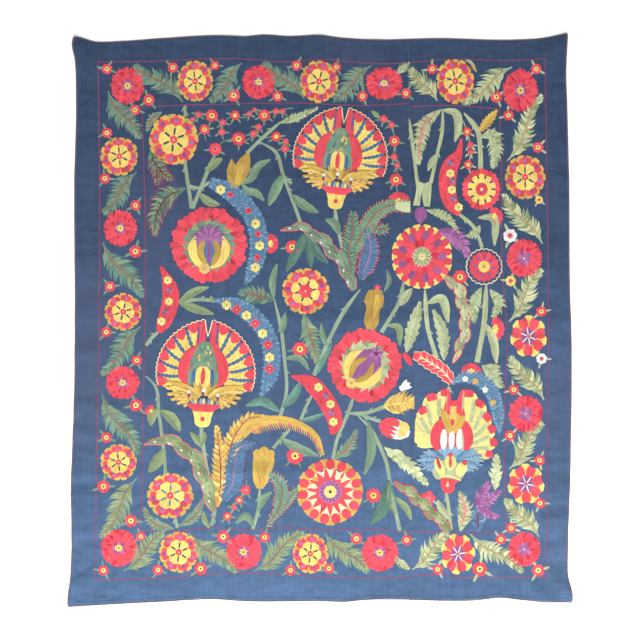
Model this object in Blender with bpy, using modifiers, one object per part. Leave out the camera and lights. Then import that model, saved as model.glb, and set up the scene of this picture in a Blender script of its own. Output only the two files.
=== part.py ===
"""Suzani: an embroidered cotton cloth, spread out flat with its face up.

The ground is two panels of blue cotton, a wide one and a narrow one, joined by one long seam.
A thin braid is sewn round the edge, one length on each side. The cloth was kept folded in four,
so shallow creases cross it, and its plain margins ripple because the stitched field has drawn in.

+X runs across the cloth, +Y up to its top edge, and +Z is up. The origin is on the surface that
the cloth lies on, under its middle. Tables are in millimetres, everything else is in metres.
"""

from collections import namedtuple

import bmesh
import bpy
import numpy as np

MM = 0.001
CLOTH_THICKNESS = 1.6 * MM
BRAID_RADIUS = 1.5 * MM
SEWING_GAP = 0.3 * MM
BRAID_END_TRIM = 1.2 * MM
PANEL_COLUMNS = {"panel_left": 26, "panel_right": 12}
PANEL_ROWS = 56
GROUND_BLUE = (0.075, 0.135, 0.26, 1.0)
BRAID_MAROON = (0.10, 0.025, 0.035, 1.0)

# Each side's own line, as the edge wanders: the place along the side, and the edge there.
Station = namedtuple("Station", "along edge")

TOP_SIDE = [
    Station(-861, 992),
    Station(-845, 989),
    Station(-796, 975),
    Station(-698, 975),
    Station(-558, 985),
    Station(-320, 995),
    Station(-271, 992),
    Station(-201, 998),
    Station(-110, 993),
    Station(9, 996),
    Station(60, 989),
    Station(149, 982),
    Station(422, 985),
    Station(684, 980),
    Station(772, 985),
    Station(824, 994),
    Station(866, 1003),
]
BOTTOM_SIDE = [
    Station(-882, -1003),
    Station(-768, -996),
    Station(-558, -985),
    Station(-366, -976),
    Station(-278, -982),
    Station(9, -983),
    Station(89, -985),
    Station(142, -980),
    Station(562, -978),
    Station(632, -971),
    Station(702, -978),
    Station(790, -986),
    Station(882, -987),
]
LEFT_SIDE = [
    Station(-1003, -882),
    Station(-978, -881),
    Station(-912, -873),
    Station(-562, -869),
    Station(-282, -859),
    Station(5, -856),
    Station(488, -858),
    Station(768, -852),
    Station(908, -856),
    Station(978, -865),
    Station(992, -861),
]
RIGHT_SIDE = [
    Station(-987, 882),
    Station(-964, 881),
    Station(-894, 866),
    Station(-842, 865),
    Station(-562, 873),
    Station(-23, 877),
    Station(68, 874),
    Station(488, 870),
    Station(768, 863),
    Station(870, 860),
    Station(964, 864),
    Station(1003, 866),
]
# The long seam: its place up the cloth, and how far across it lies.
SEAM = [
    Station(-1003, 318),
    Station(-700, 320),
    Station(-352, 332),
    Station(400, 318),
    Station(1003, 308),
]

# Raised folds: a crest line, how far the lift reaches to each side of it, and its height.
# A crease has a sharp crest, and a wave a round one.
Fold = namedtuple("Fold", "kind x0 y0 x1 y1 reach height")

FOLDS = [
    # Creases from being folded in four, and again
    Fold("crease", 2, -1060, 2, 1060, 46, 3.0),
    Fold("crease", -289, -1060, -284, -700, 44, 2.4),
    Fold("crease", -289, 560, -289, 1060, 44, 2.4),
    Fold("crease", -940, 4, 960, 2, 50, 3.6),
    Fold("crease", -940, -548, -60, -530, 48, 5.5),
    Fold("crease", -60, -530, 960, -500, 50, 4.0),
    Fold("crease", -940, 498, 960, 494, 46, 2.2),
    # Ripples across the left margin
    Fold("wave", -950, -120, -790, -112, 42, 3.0),
    Fold("wave", -950, -292, -700, -318, 52, 5.5),
    Fold("wave", -950, -395, -770, -405, 44, 4.5),
    Fold("wave", -950, -622, -690, -610, 50, 6.5),
    Fold("wave", -950, -765, -770, -740, 46, 4.5),
    Fold("wave", -950, -880, -740, -800, 52, 6.0),
    Fold("wave", -930, -1000, -780, -880, 40, 5.0),
    Fold("wave", -950, 210, -790, 205, 44, 2.5),
    # Ripples across the right margin
    Fold("wave", 780, -85, 950, -95, 44, 3.0),
    Fold("wave", 760, -575, 950, -580, 48, 4.5),
    Fold("wave", 790, -700, 950, -670, 40, 3.5),
    Fold("wave", 770, -830, 950, -760, 50, 6.0),
    Fold("wave", 760, -850, 930, -1010, 40, 5.5),
    Fold("wave", 690, -870, 800, -1000, 38, 4.0),
    # Slack in the field
    Fold("wave", -10, -80, 235, 8, 60, 5.0),
    Fold("wave", -470, -330, 40, -305, 60, 4.0),
    Fold("wave", 365, -735, 455, -660, 42, 3.5),
    Fold("wave", -640, -700, -420, -640, 55, 3.5),
    # Ripples in the top and bottom margins
    Fold("wave", -470, -1040, -400, -890, 46, 4.0),
    Fold("wave", 230, -1040, 262, -880, 50, 3.5),
    Fold("wave", 520, -1040, 560, -890, 48, 3.5),
    Fold("wave", -900, 1030, -770, 890, 40, 4.5),
    Fold("wave", 900, 1040, 770, 900, 42, 3.5),
    Fold("wave", 190, 1060, 200, 900, 46, 2.5),
]


def smooth_line(stations):
    """A smooth curve through the stations, as a function of the place along the side."""
    along = np.array([s.along for s in stations]) * MM
    edge = np.array([s.edge for s in stations]) * MM
    slope = np.gradient(edge, along)

    def at(place):
        place = np.clip(place, along[0], along[-1])
        i = np.clip(np.searchsorted(along, place) - 1, 0, len(along) - 2)
        step = along[i + 1] - along[i]
        t = (place - along[i]) / step
        start = (1 + 2 * t) * (1 - t) ** 2 * edge[i] + t * (1 - t) ** 2 * step * slope[i]
        end = t**2 * (3 - 2 * t) * edge[i + 1] - t**2 * (1 - t) * step * slope[i + 1]
        return start + end

    return at


top_edge = smooth_line(TOP_SIDE)
bottom_edge = smooth_line(BOTTOM_SIDE)
left_edge = smooth_line(LEFT_SIDE)
right_edge = smooth_line(RIGHT_SIDE)
seam_line = smooth_line(SEAM)


def between(low, high, share):
    return low + (high - low) * share


def cloth_place(u, v):
    """Where the point at share u across and v up the cloth lies: its four sides, blended."""
    x_top = between(TOP_SIDE[0].along, TOP_SIDE[-1].along, u) * MM
    x_bottom = between(BOTTOM_SIDE[0].along, BOTTOM_SIDE[-1].along, u) * MM
    y_left = between(LEFT_SIDE[0].along, LEFT_SIDE[-1].along, v) * MM
    y_right = between(RIGHT_SIDE[0].along, RIGHT_SIDE[-1].along, v) * MM
    corner_y_bottom = between(BOTTOM_SIDE[0].edge, BOTTOM_SIDE[-1].edge, u) * MM
    corner_y_top = between(TOP_SIDE[0].edge, TOP_SIDE[-1].edge, u) * MM
    x = between(left_edge(y_left), right_edge(y_right), u)
    y = between(y_left, y_right, u) + between(bottom_edge(x_bottom), top_edge(x_top), v)
    return np.array([x, y - between(corner_y_bottom, corner_y_top, v)])


def seam_share(v):
    """The share across the cloth at which the seam lies, at share v up it."""
    y = between(BOTTOM_SIDE[0].edge, TOP_SIDE[0].edge, v) * MM
    return (seam_line(y) - left_edge(y)) / (right_edge(y) - left_edge(y))


def lift(x, y):
    """How far the cloth stands off the surface: the sum of its folds, and nothing between them."""
    total = 0.0
    for fold in FOLDS:
        run = np.array([fold.x1 - fold.x0, fold.y1 - fold.y0]) * MM
        length = np.hypot(*run)
        dx = x - fold.x0 * MM
        dy = y - fold.y0 * MM
        along = (dx * run[0] + dy * run[1]) / length**2
        aside = np.abs(dx * run[1] - dy * run[0]) / length
        near = np.clip(1 - aside / (fold.reach * MM), 0, 1)
        profile = near**2 if fold.kind == "crease" else near**2 * (3 - 2 * near)
        beyond = np.clip(np.maximum(-along, along - 1) * length / (fold.reach * MM), 0, 1)
        total += fold.height * MM * profile * (1 - beyond) ** 2 * (1 + 2 * beyond)
    return total


def plain_material(name, colour, roughness):
    material = bpy.data.materials.new(name)
    material.use_nodes = True
    shader = material.node_tree.nodes["Principled BSDF"]
    shader.inputs["Base Color"].default_value = colour
    shader.inputs["Roughness"].default_value = roughness
    shader.inputs["Metallic"].default_value = 0.0
    return material


def make_panel(name, share_across, material, collection):
    """A panel of cloth: a grid laid on the folds, which are its underside, made solid upwards."""
    shape = bmesh.new()
    bmesh.ops.create_grid(shape, x_segments=PANEL_COLUMNS[name], y_segments=PANEL_ROWS, size=0.5)
    for corner in shape.verts:
        v = corner.co.y + 0.5
        x, y = cloth_place(share_across(corner.co.x + 0.5, v), v)
        corner.co = (x, y, lift(x, y))
    mesh = bpy.data.meshes.new(name)
    shape.to_mesh(mesh)
    shape.free()
    mesh.shade_smooth()
    mesh.materials.append(material)
    panel = bpy.data.objects.new(name, mesh)
    collection.objects.link(panel)
    solid = panel.modifiers.new("thickness", "SOLIDIFY")
    solid.thickness = CLOTH_THICKNESS
    solid.offset = 1.0


def left_share(a, v):
    """Share across the whole cloth, at share a across the left panel."""
    width = cloth_place(1.0, v)[0] - cloth_place(0.0, v)[0]
    return a * (seam_share(v) - SEWING_GAP / 2 / width)


def right_share(a, v):
    """Share across the whole cloth, at share a across the right panel."""
    width = cloth_place(1.0, v)[0] - cloth_place(0.0, v)[0]
    return between(seam_share(v) + SEWING_GAP / 2 / width, 1.0, a)


def side_points(name):
    """The edge of the cloth along one side, at the corners that the panels have there."""
    if name in ("top", "bottom"):
        v = 1.0 if name == "top" else 0.0
        left = np.linspace(0, 1, PANEL_COLUMNS["panel_left"] + 1)
        right = np.linspace(0, 1, PANEL_COLUMNS["panel_right"] + 1)[1:]
        shares = [left_share(a, v) for a in left] + [right_share(a, v) for a in right]
        return np.array([cloth_place(u, v) for u in shares])
    u = 1.0 if name == "right" else 0.0
    return np.array([cloth_place(u, v) for v in np.linspace(0, 1, PANEL_ROWS + 1)])


def make_braid(name, outward, whole_corner, material, collection):
    """The braid along one side: a tube that follows the edge, just outside it."""
    edge = side_points(name)
    run = np.gradient(edge, axis=0)
    run /= np.linalg.norm(run, axis=1)[:, None]
    normal = np.stack([-run[:, 1], run[:, 0]], axis=1)
    normal *= np.sign(normal @ np.array(outward))[:, None]
    line = edge + normal * (SEWING_GAP + BRAID_RADIUS)
    reach = 2 * BRAID_RADIUS + SEWING_GAP if whole_corner else -BRAID_END_TRIM
    line[0] -= run[0] * reach
    line[-1] += run[-1] * reach
    height = lift(edge[:, 0], edge[:, 1]) + BRAID_RADIUS
    curve = bpy.data.curves.new("braid_" + name, "CURVE")
    curve.dimensions = "3D"
    curve.bevel_depth = BRAID_RADIUS
    curve.bevel_resolution = 2
    curve.use_fill_caps = True
    spline = curve.splines.new("POLY")
    spline.points.add(len(line) - 1)
    for point, (x, y), z in zip(spline.points, line, height):
        point.co = (x, y, z, 1.0)
    curve.materials.append(material)
    braid = bpy.data.objects.new("braid_" + name, curve)
    collection.objects.link(braid)


def main():
    for old in list(bpy.data.objects):
        bpy.data.objects.remove(old)
    collection = bpy.data.collections.new("suzani")
    bpy.context.scene.collection.children.link(collection)
    ground = plain_material("ground_cotton", GROUND_BLUE, 0.85)
    maroon = plain_material("edge_braid", BRAID_MAROON, 0.75)
    make_panel("panel_left", left_share, ground, collection)
    make_panel("panel_right", right_share, ground, collection)
    make_braid("top", (0, 1), True, maroon, collection)
    make_braid("bottom", (0, -1), True, maroon, collection)
    make_braid("left", (-1, 0), False, maroon, collection)
    make_braid("right", (1, 0), False, maroon, collection)


main()
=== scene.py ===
"""Looks of the suzani: its two cotton panels, the braid round them, and all of the silk embroidery.

The embroidery is laid out on a chart, whose squares are UNIT wide on the cloth, with x to the
right and y down from the chart's top left corner. Every motif is drawn on that chart as
patches of stitches: a patch is a small grid of points, crowned like the silk it stands for, that
follows the folds of the cloth under it. Each patch carries its thread's colour and direction.
"""

from collections import namedtuple

import bmesh
import bpy
import numpy as np
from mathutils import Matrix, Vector


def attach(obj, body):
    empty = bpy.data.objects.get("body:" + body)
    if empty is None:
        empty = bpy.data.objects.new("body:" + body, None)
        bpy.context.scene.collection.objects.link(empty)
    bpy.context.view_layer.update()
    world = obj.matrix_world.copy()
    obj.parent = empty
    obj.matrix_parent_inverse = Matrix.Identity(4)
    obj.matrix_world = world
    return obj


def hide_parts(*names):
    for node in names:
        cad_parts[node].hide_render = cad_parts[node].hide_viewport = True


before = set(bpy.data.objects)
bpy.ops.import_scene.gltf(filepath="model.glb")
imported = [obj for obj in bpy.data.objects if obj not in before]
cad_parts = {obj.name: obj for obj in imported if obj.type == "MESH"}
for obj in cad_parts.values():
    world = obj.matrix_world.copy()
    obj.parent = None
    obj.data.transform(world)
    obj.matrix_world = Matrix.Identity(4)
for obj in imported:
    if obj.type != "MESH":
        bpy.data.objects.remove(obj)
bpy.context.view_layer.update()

MM = 0.001
UNIT = 3.5 * MM
CHART_MIDDLE = 319.5
CLOTH_THICKNESS = 1.6 * MM
SEWING_GAP = 0.3 * MM
CREASE_ROUNDING = 7 * MM
PUCKER = 0.35 * MM
PANEL_GRID = {"ground_left": (150, 250), "ground_right": (70, 250)}
HEM_WIDTH = 11 * MM
HEM_RISE = 0.7 * MM
SEAM_DIP = 0.7 * MM
SEAM_REACH = 6 * MM
SILK_CROWN = 0.6 * MM
SILK_TUCK = 0.12 * MM
SILK_LAYER = 0.35 * MM
TINT_SPREAD = 0.07
SPINE_SAMPLES = 81
# In squares of the chart: the width under which a patch gets flatter, the step between a band's
# rows, and the room left beside the seam
NARROW_PATCH = 1.6
ROW_PITCH = 2.2
SEAM_CLEARANCE = 0.4
# How near two points are joined into one, and how short an edge is taken out
JOIN_REACH = 0.02 * MM
PINCH_REACH = 0.01 * MM
THREAD_PITCH = 1.6 * MM
BRAID_RADIUS = 1.5 * MM
BRAID_PITCH = 9 * MM
PICOT_PITCH = 9.5 * MM
KNOT_SIZE = 1.9 * MM
BRAID_END_TRIM = 1.2 * MM
BRAID_STATIONS = 1700
HEM_STEP = 1.6 * MM
EDGE_ROUNDING = 1.6 * MM
# In millimetres from each side
EDGE_STEPS = (0.5, 1.1, 1.8, 3.5, 6, 9.4, 10.2, 11, 13)
LEFT_CUT = (1.18, 1.98)
RIGHT_CUT = (0.555, 1.98)
PANEL_CUT = {"ground_left": LEFT_CUT, "ground_right": RIGHT_CUT}
LACING_PITCH = 5.5 * MM
# Where the lacing starts and ends down the chart
LACING_SPAN = (41, 601)
HEM_STITCH_PITCH = 9 * MM
YARN_PITCH = 1.3 * MM
SHEEN_ROUGHNESS = 0.4
CLOTH_GLOSS = 0.25
# Colours, as red, green and blue from 0 to 255
# The cotton's top colour is darker and its bottom colour lighter, by painted shade
COTTON_SHADED_TOP = (54, 72, 101)
COTTON_LIT_BOTTOM = (75, 101, 135)
COTTON_BLUSH = (84, 88, 118)
COTTON_PURPLISH = (80, 86, 112)
BRAID_DARK = (54, 22, 34)
BRAID_LIGHT = (104, 52, 66)
# Middle of the greyer, purplish patch on the left margin
PURPLISH_PATCH = (-0.86, -0.15, 0)
FLOOR_SIZE = 60
FLOOR_DROP = 0.5 * MM
FLOOR_GLOW = 0.35
WINDOW_PLACE = (0.0, -4.3, 3.8)
WINDOW_AIM = (0, -0.1, 0)
WINDOW_SIZE = 2.6
LAMP_POWER = 400
ROOM_LIGHT = 0.5
CAMERA_LENS = 85
CAMERA_SENSOR = 36
# Squares of the chart that the camera sees across
CHART_SEEN = 641.6
CAMERA_REACH = 200

# The cloth's outline, seam and folds, in millimetres, as they are on the solid panels

Station = namedtuple("Station", "along edge")

TOP_SIDE = [Station(*row) for row in (
    (-861, 992), (-845, 989), (-796, 975), (-698, 975), (-558, 985), (-320, 995), (-271, 992), (-201, 998),
    (-110, 993), (9, 996), (60, 989), (149, 982), (422, 985), (684, 980), (772, 985), (824, 994),
    (866, 1003),
)]
BOTTOM_SIDE = [Station(*row) for row in (
    (-882, -1003), (-768, -996), (-558, -985), (-366, -976), (-278, -982), (9, -983), (89, -985),
    (142, -980), (562, -978), (632, -971), (702, -978), (790, -986), (882, -987),
)]
LEFT_SIDE = [Station(*row) for row in (
    (-1003, -882), (-978, -881), (-912, -873), (-562, -869), (-282, -859), (5, -856), (488, -858),
    (768, -852), (908, -856), (978, -865), (992, -861),
)]
RIGHT_SIDE = [Station(*row) for row in (
    (-987, 882), (-964, 881), (-894, 866), (-842, 865), (-562, 873), (-23, 877), (68, 874), (488, 870),
    (768, 863), (870, 860), (964, 864), (1003, 866),
)]
SEAM = [Station(*row) for row in (
    (-1003, 318), (-700, 320), (-352, 332), (400, 318), (1003, 308),
)]

Fold = namedtuple("Fold", "kind x0 y0 x1 y1 reach height")

FOLDS = [Fold("crease", *row) for row in (
    (2, -1060, 2, 1060, 46, 3.0), (-289, -1060, -284, -700, 44, 2.4), (-289, 560, -289, 1060, 44, 2.4),
    (-940, 4, 960, 2, 50, 3.6), (-940, -548, -60, -530, 48, 5.5), (-60, -530, 960, -500, 50, 4.0),
    (-940, 498, 960, 494, 46, 2.2),
)]
FOLDS += [Fold("wave", *row) for row in (
    (-950, -120, -790, -112, 42, 3.0), (-950, -292, -700, -318, 52, 5.5), (-950, -395, -770, -405, 44, 4.5),
    (-950, -622, -690, -610, 50, 6.5), (-950, -765, -770, -740, 46, 4.5), (-950, -880, -740, -800, 52, 6.0),
    (-930, -1000, -780, -880, 40, 5.0), (-950, 210, -790, 205, 44, 2.5), (780, -85, 950, -95, 44, 3.0),
    (760, -575, 950, -580, 48, 4.5), (790, -700, 950, -670, 40, 3.5), (770, -830, 950, -760, 50, 6.0),
    (760, -850, 930, -1010, 40, 5.5), (690, -870, 800, -1000, 38, 4.0), (-10, -80, 235, 8, 60, 5.0),
    (-470, -330, 40, -305, 60, 4.0), (365, -735, 455, -660, 42, 3.5), (-640, -700, -420, -640, 55, 3.5),
    (-470, -1040, -400, -890, 46, 4.0), (230, -1040, 262, -880, 50, 3.5), (520, -1040, 560, -890, 48, 3.5),
    (-900, 1030, -770, 890, 40, 4.5), (900, 1040, 770, 900, 42, 3.5), (190, 1060, 200, 900, 46, 2.5),
)]

# Silk shades, as red, green and blue from 0 to 255

SILK = {
    "red": (232, 80, 94), "crimson": (206, 54, 76), "rose": (242, 116, 128), "maroon": (112, 32, 48),
    "yellow": (246, 216, 118), "lemon": (240, 224, 138), "gold": (214, 176, 88), "olive": (190, 154, 76),
    "cream": (244, 228, 182), "white": (246, 244, 236), "ochre": (238, 204, 118), "lime": (204, 212, 164),
    "sage": (182, 192, 150), "moss": (142, 160, 118), "leaf": (124, 152, 126), "pine": (92, 126, 112),
    "teal": (108, 150, 134), "sky": (136, 168, 194), "blue": (88, 126, 160), "steel": (82, 114, 150),
    "navy": (52, 74, 104), "purple": (152, 92, 146), "plum": (118, 62, 106), "lilac": (178, 120, 170),
    "rib": (158, 100, 92), "bark": (178, 140, 104), "stem": (150, 170, 142), "couch": (150, 64, 98),
    "seam": (50, 67, 98), "eye": (98, 62, 56), "blush": (216, 152, 150), "dusk": (112, 98, 150),
}


def linear(rgb):
    """Light values of a colour given from 0 to 255, by the usual display curve."""
    c = np.asarray(rgb, float) / 255
    return np.where(c <= 0.04045, c / 12.92, ((c + 0.055) / 1.055) ** 2.4)


def hermite(start, end, slope_start, slope_end, t):
    """The cubic from start to end with those slopes, at share t."""
    rising = t**2 * (3 - 2 * t)
    return start * (1 - rising) + end * rising + slope_start * t * (1 - t) ** 2 - slope_end * t**2 * (1 - t)


def smooth_line(stations):
    """A smooth curve through the stations, as a function of the place along the side."""
    along, edge = np.array(stations, float).T * MM
    slope = np.gradient(edge, along)

    def at(place):
        """The edge's place there, by the cubic between the two nearest stations."""
        place = np.clip(place, along[0], along[-1])
        i = np.clip(np.searchsorted(along, place) - 1, 0, len(along) - 2)
        step = along[i + 1] - along[i]
        t = (place - along[i]) / step
        return hermite(edge[i], edge[i + 1], slope[i] * step, slope[i + 1] * step, t)

    return at


top_edge = smooth_line(TOP_SIDE)
bottom_edge = smooth_line(BOTTOM_SIDE)
left_edge = smooth_line(LEFT_SIDE)
right_edge = smooth_line(RIGHT_SIDE)
seam_line = smooth_line(SEAM)


def between(low, high, share):
    """The value or point at that share of the way from low to high."""
    return low + (high - low) * share


def cloth_place(u, v):
    """Where the points at share u across and v up the cloth lie: its four sides, blended."""
    x_top = between(TOP_SIDE[0].along, TOP_SIDE[-1].along, u) * MM
    x_bottom = between(BOTTOM_SIDE[0].along, BOTTOM_SIDE[-1].along, u) * MM
    y_left = between(LEFT_SIDE[0].along, LEFT_SIDE[-1].along, v) * MM
    y_right = between(RIGHT_SIDE[0].along, RIGHT_SIDE[-1].along, v) * MM
    corner_y_bottom = between(BOTTOM_SIDE[0].edge, BOTTOM_SIDE[-1].edge, u) * MM
    corner_y_top = between(TOP_SIDE[0].edge, TOP_SIDE[-1].edge, u) * MM
    x = between(left_edge(y_left), right_edge(y_right), u)
    y = between(y_left, y_right, u) + between(bottom_edge(x_bottom), top_edge(x_top), v)
    return x, y - between(corner_y_bottom, corner_y_top, v)


def seam_share(v):
    """The share across the cloth at which the seam lies, at share v up it."""
    y = between(BOTTOM_SIDE[0].edge, TOP_SIDE[0].edge, v) * MM
    return (seam_line(y) - left_edge(y)) / (right_edge(y) - left_edge(y))


def lift(x, y):
    """How far the cloth stands off the surface: the sum of its folds, and nothing between them."""
    total = np.zeros(np.shape(x))
    for fold in FOLDS:
        run = np.array([fold.x1 - fold.x0, fold.y1 - fold.y0]) * MM
        length = np.hypot(*run)
        dx = x - fold.x0 * MM
        dy = y - fold.y0 * MM
        along = (dx * run[0] + dy * run[1]) / length**2
        aside = np.abs(dx * run[1] - dy * run[0]) / length
        if fold.kind == "crease":
            aside = np.hypot(aside, CREASE_ROUNDING) - CREASE_ROUNDING
        near = np.clip(1 - aside / (fold.reach * MM), 0, 1)
        profile = near**2 if fold.kind == "crease" else near**2 * (3 - 2 * near)
        beyond = np.clip(np.maximum(-along, along - 1) * length / (fold.reach * MM), 0, 1)
        total += fold.height * MM * profile * (1 - beyond) ** 2 * (1 + 2 * beyond)
    return total


def pucker(x, y):
    """Small unevenness that the stitching draws into the cloth: a few crossed waves, squared."""
    waves = np.sin(38 * x + 21 * y) * np.sin(17 * x - 44 * y + 2)
    waves += 0.6 * np.sin(71 * x - 33 * y + 1) * np.sin(29 * x + 83 * y)
    return PUCKER * waves**2


def seam_dip(x, y):
    """The cloth sinks towards the long seam, as the square of the nearness to it."""
    near = np.clip(1 - np.abs(x - seam_line(y)) / SEAM_REACH, 0, 1)
    return SEAM_DIP * near**2


def face_of_cloth(x, y):
    """Height of the cloth's upper face at a place on it."""
    return lift(x, y) + pucker(x, y) + CLOTH_THICKNESS - seam_dip(x, y)


def seam_at(y):
    """The chart's x of the long seam at a chart y."""
    return CHART_MIDDLE + seam_line((CHART_MIDDLE - y) * UNIT) / UNIT


def right_of_seam(x, y):
    """Whether a place on the chart is on the narrow panel."""
    return x > seam_at(y)


# Stitching: patches of silk drawn on the chart


def smooth_path(points, samples):
    """Points at even steps along a smooth curve through the given ones."""
    points = np.asarray(points, float)
    chord = np.concatenate([[0], np.cumsum(np.hypot(*np.diff(points, axis=0).T))])
    slope = np.gradient(points, chord, axis=0)
    t = np.linspace(0, chord[-1], samples)
    i = np.clip(np.searchsorted(chord, t) - 1, 0, len(chord) - 2)
    step = (chord[i + 1] - chord[i])[:, None]
    share = (t - chord[i])[:, None] / step
    return hermite(points[i], points[i + 1], slope[i] * step, slope[i + 1] * step, share)


def beside(path, offset):
    """The path moved to its left by the offset at each of its points."""
    run = np.gradient(path, axis=0)
    run /= np.maximum(np.hypot(run[:, 0], run[:, 1]), 1e-9)[:, None]
    return path + np.stack([run[:, 1], -run[:, 0]], axis=1) * np.asarray(offset)[:, None]


def directions(step):
    """The unit direction of a step, and the one across it."""
    out = step / np.hypot(*step)
    return out, np.array([out[1], -out[0]])


def path_length(path):
    """The length of the straight runs between a path's points."""
    return np.hypot(*np.diff(path, axis=0).T).sum()


def tapered(widths, samples):
    """Half widths that are given at even steps along a path, at that many samples of it."""
    return np.interp(np.linspace(0, 1, samples), np.linspace(0, 1, len(widths)), widths)


def light_of(name):
    """Light values of the silk of that name."""
    return linear(SILK[name])


def quads_of(grids):
    """Quads between the neighbours in each grid, with all of the grids' points numbered in turn."""
    quads, start = [], 0
    for grid in grids:
        rows, cols = grid.shape[:2]
        number = start + np.arange(rows * cols).reshape(rows, cols)
        corners = [number[:-1, :-1], number[1:, :-1], number[1:, 1:], number[:-1, 1:]]
        quads.append(np.stack([c.ravel() for c in corners], axis=1))
        start += rows * cols
    return np.concatenate(quads)


def points_of(grids):
    """The points of all of the grids, one after another."""
    return np.concatenate([grid.reshape(-1, grid.shape[-1]) for grid in grids])


def saw(share, teeth):
    """Rises from 0 to 1 and drops straight back, that many times over the share."""
    return (share * teeth) % 1.0


class Needlework:
    """All the patches of one piece, and the mesh made from them."""

    def __init__(self, name, seed):
        self.name = name
        self.random = np.random.default_rng(seed)
        self.grids = []

    def patch(self, x, y, crown, level, thread, shade):
        """Keeps a grid of chart points, with their heights above the face of the cloth.

        crown runs from 0 at the patch's border to 1 on its ridge, and thread holds the distances
        along and across the threads, in metres.
        """
        cloth_x = (x - CHART_MIDDLE) * UNIT
        cloth_y = (CHART_MIDDLE - y) * UNIT
        rise = crown * SILK_CROWN - SILK_TUCK * (crown <= 0) + level * SILK_LAYER
        place = np.stack([cloth_x, cloth_y, rise], axis=-1)
        colour = np.broadcast_to(shade, place.shape)
        self.grids.append((place, np.stack(thread, axis=-1), colour))

    def piece(self):
        """One mesh of all the patches: quads between neighbours in each grid, faces upwards."""
        places, threads, colours = zip(*self.grids)
        place = points_of(places)
        place[:, 2] += face_of_cloth(place[:, 0], place[:, 1])
        quad = quads_of(places)
        a, b, c, d = (place[quad[:, k]] for k in range(4))
        under = np.cross(c - a, d - b)[:, 2] < 0
        quad[under] = quad[under][:, ::-1]
        mesh = bpy.data.meshes.new(self.name)
        mesh.from_pydata(place, [], quad.tolist())
        colour = mesh.attributes.new("silk", "FLOAT_COLOR", "POINT")
        rgba = np.ones((len(place), 4), np.float32)
        rgba[:, :3] = points_of(colours)
        colour.data.foreach_set("color", rgba.ravel())
        layer = mesh.uv_layers.new(name="thread")
        layer.data.foreach_set("uv", points_of(threads)[quad.ravel()].astype(np.float32).ravel())
        mesh.shade_smooth()
        return join_doubles(self.name, mesh)


def join_doubles(name, mesh, closed=False):
    """An object of the mesh, with the closed rings' ends joined and the pinched faces gone."""
    shape = bmesh.new()
    shape.from_mesh(mesh)
    bmesh.ops.remove_doubles(shape, verts=shape.verts[:], dist=JOIN_REACH)
    bmesh.ops.dissolve_degenerate(shape, edges=shape.edges[:], dist=PINCH_REACH)
    if closed:
        bmesh.ops.recalc_face_normals(shape, faces=shape.faces[:])
    shape.to_mesh(mesh)
    shape.free()
    made = bpy.data.objects.new(name, mesh)
    bpy.context.scene.collection.objects.link(made)
    return made


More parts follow.
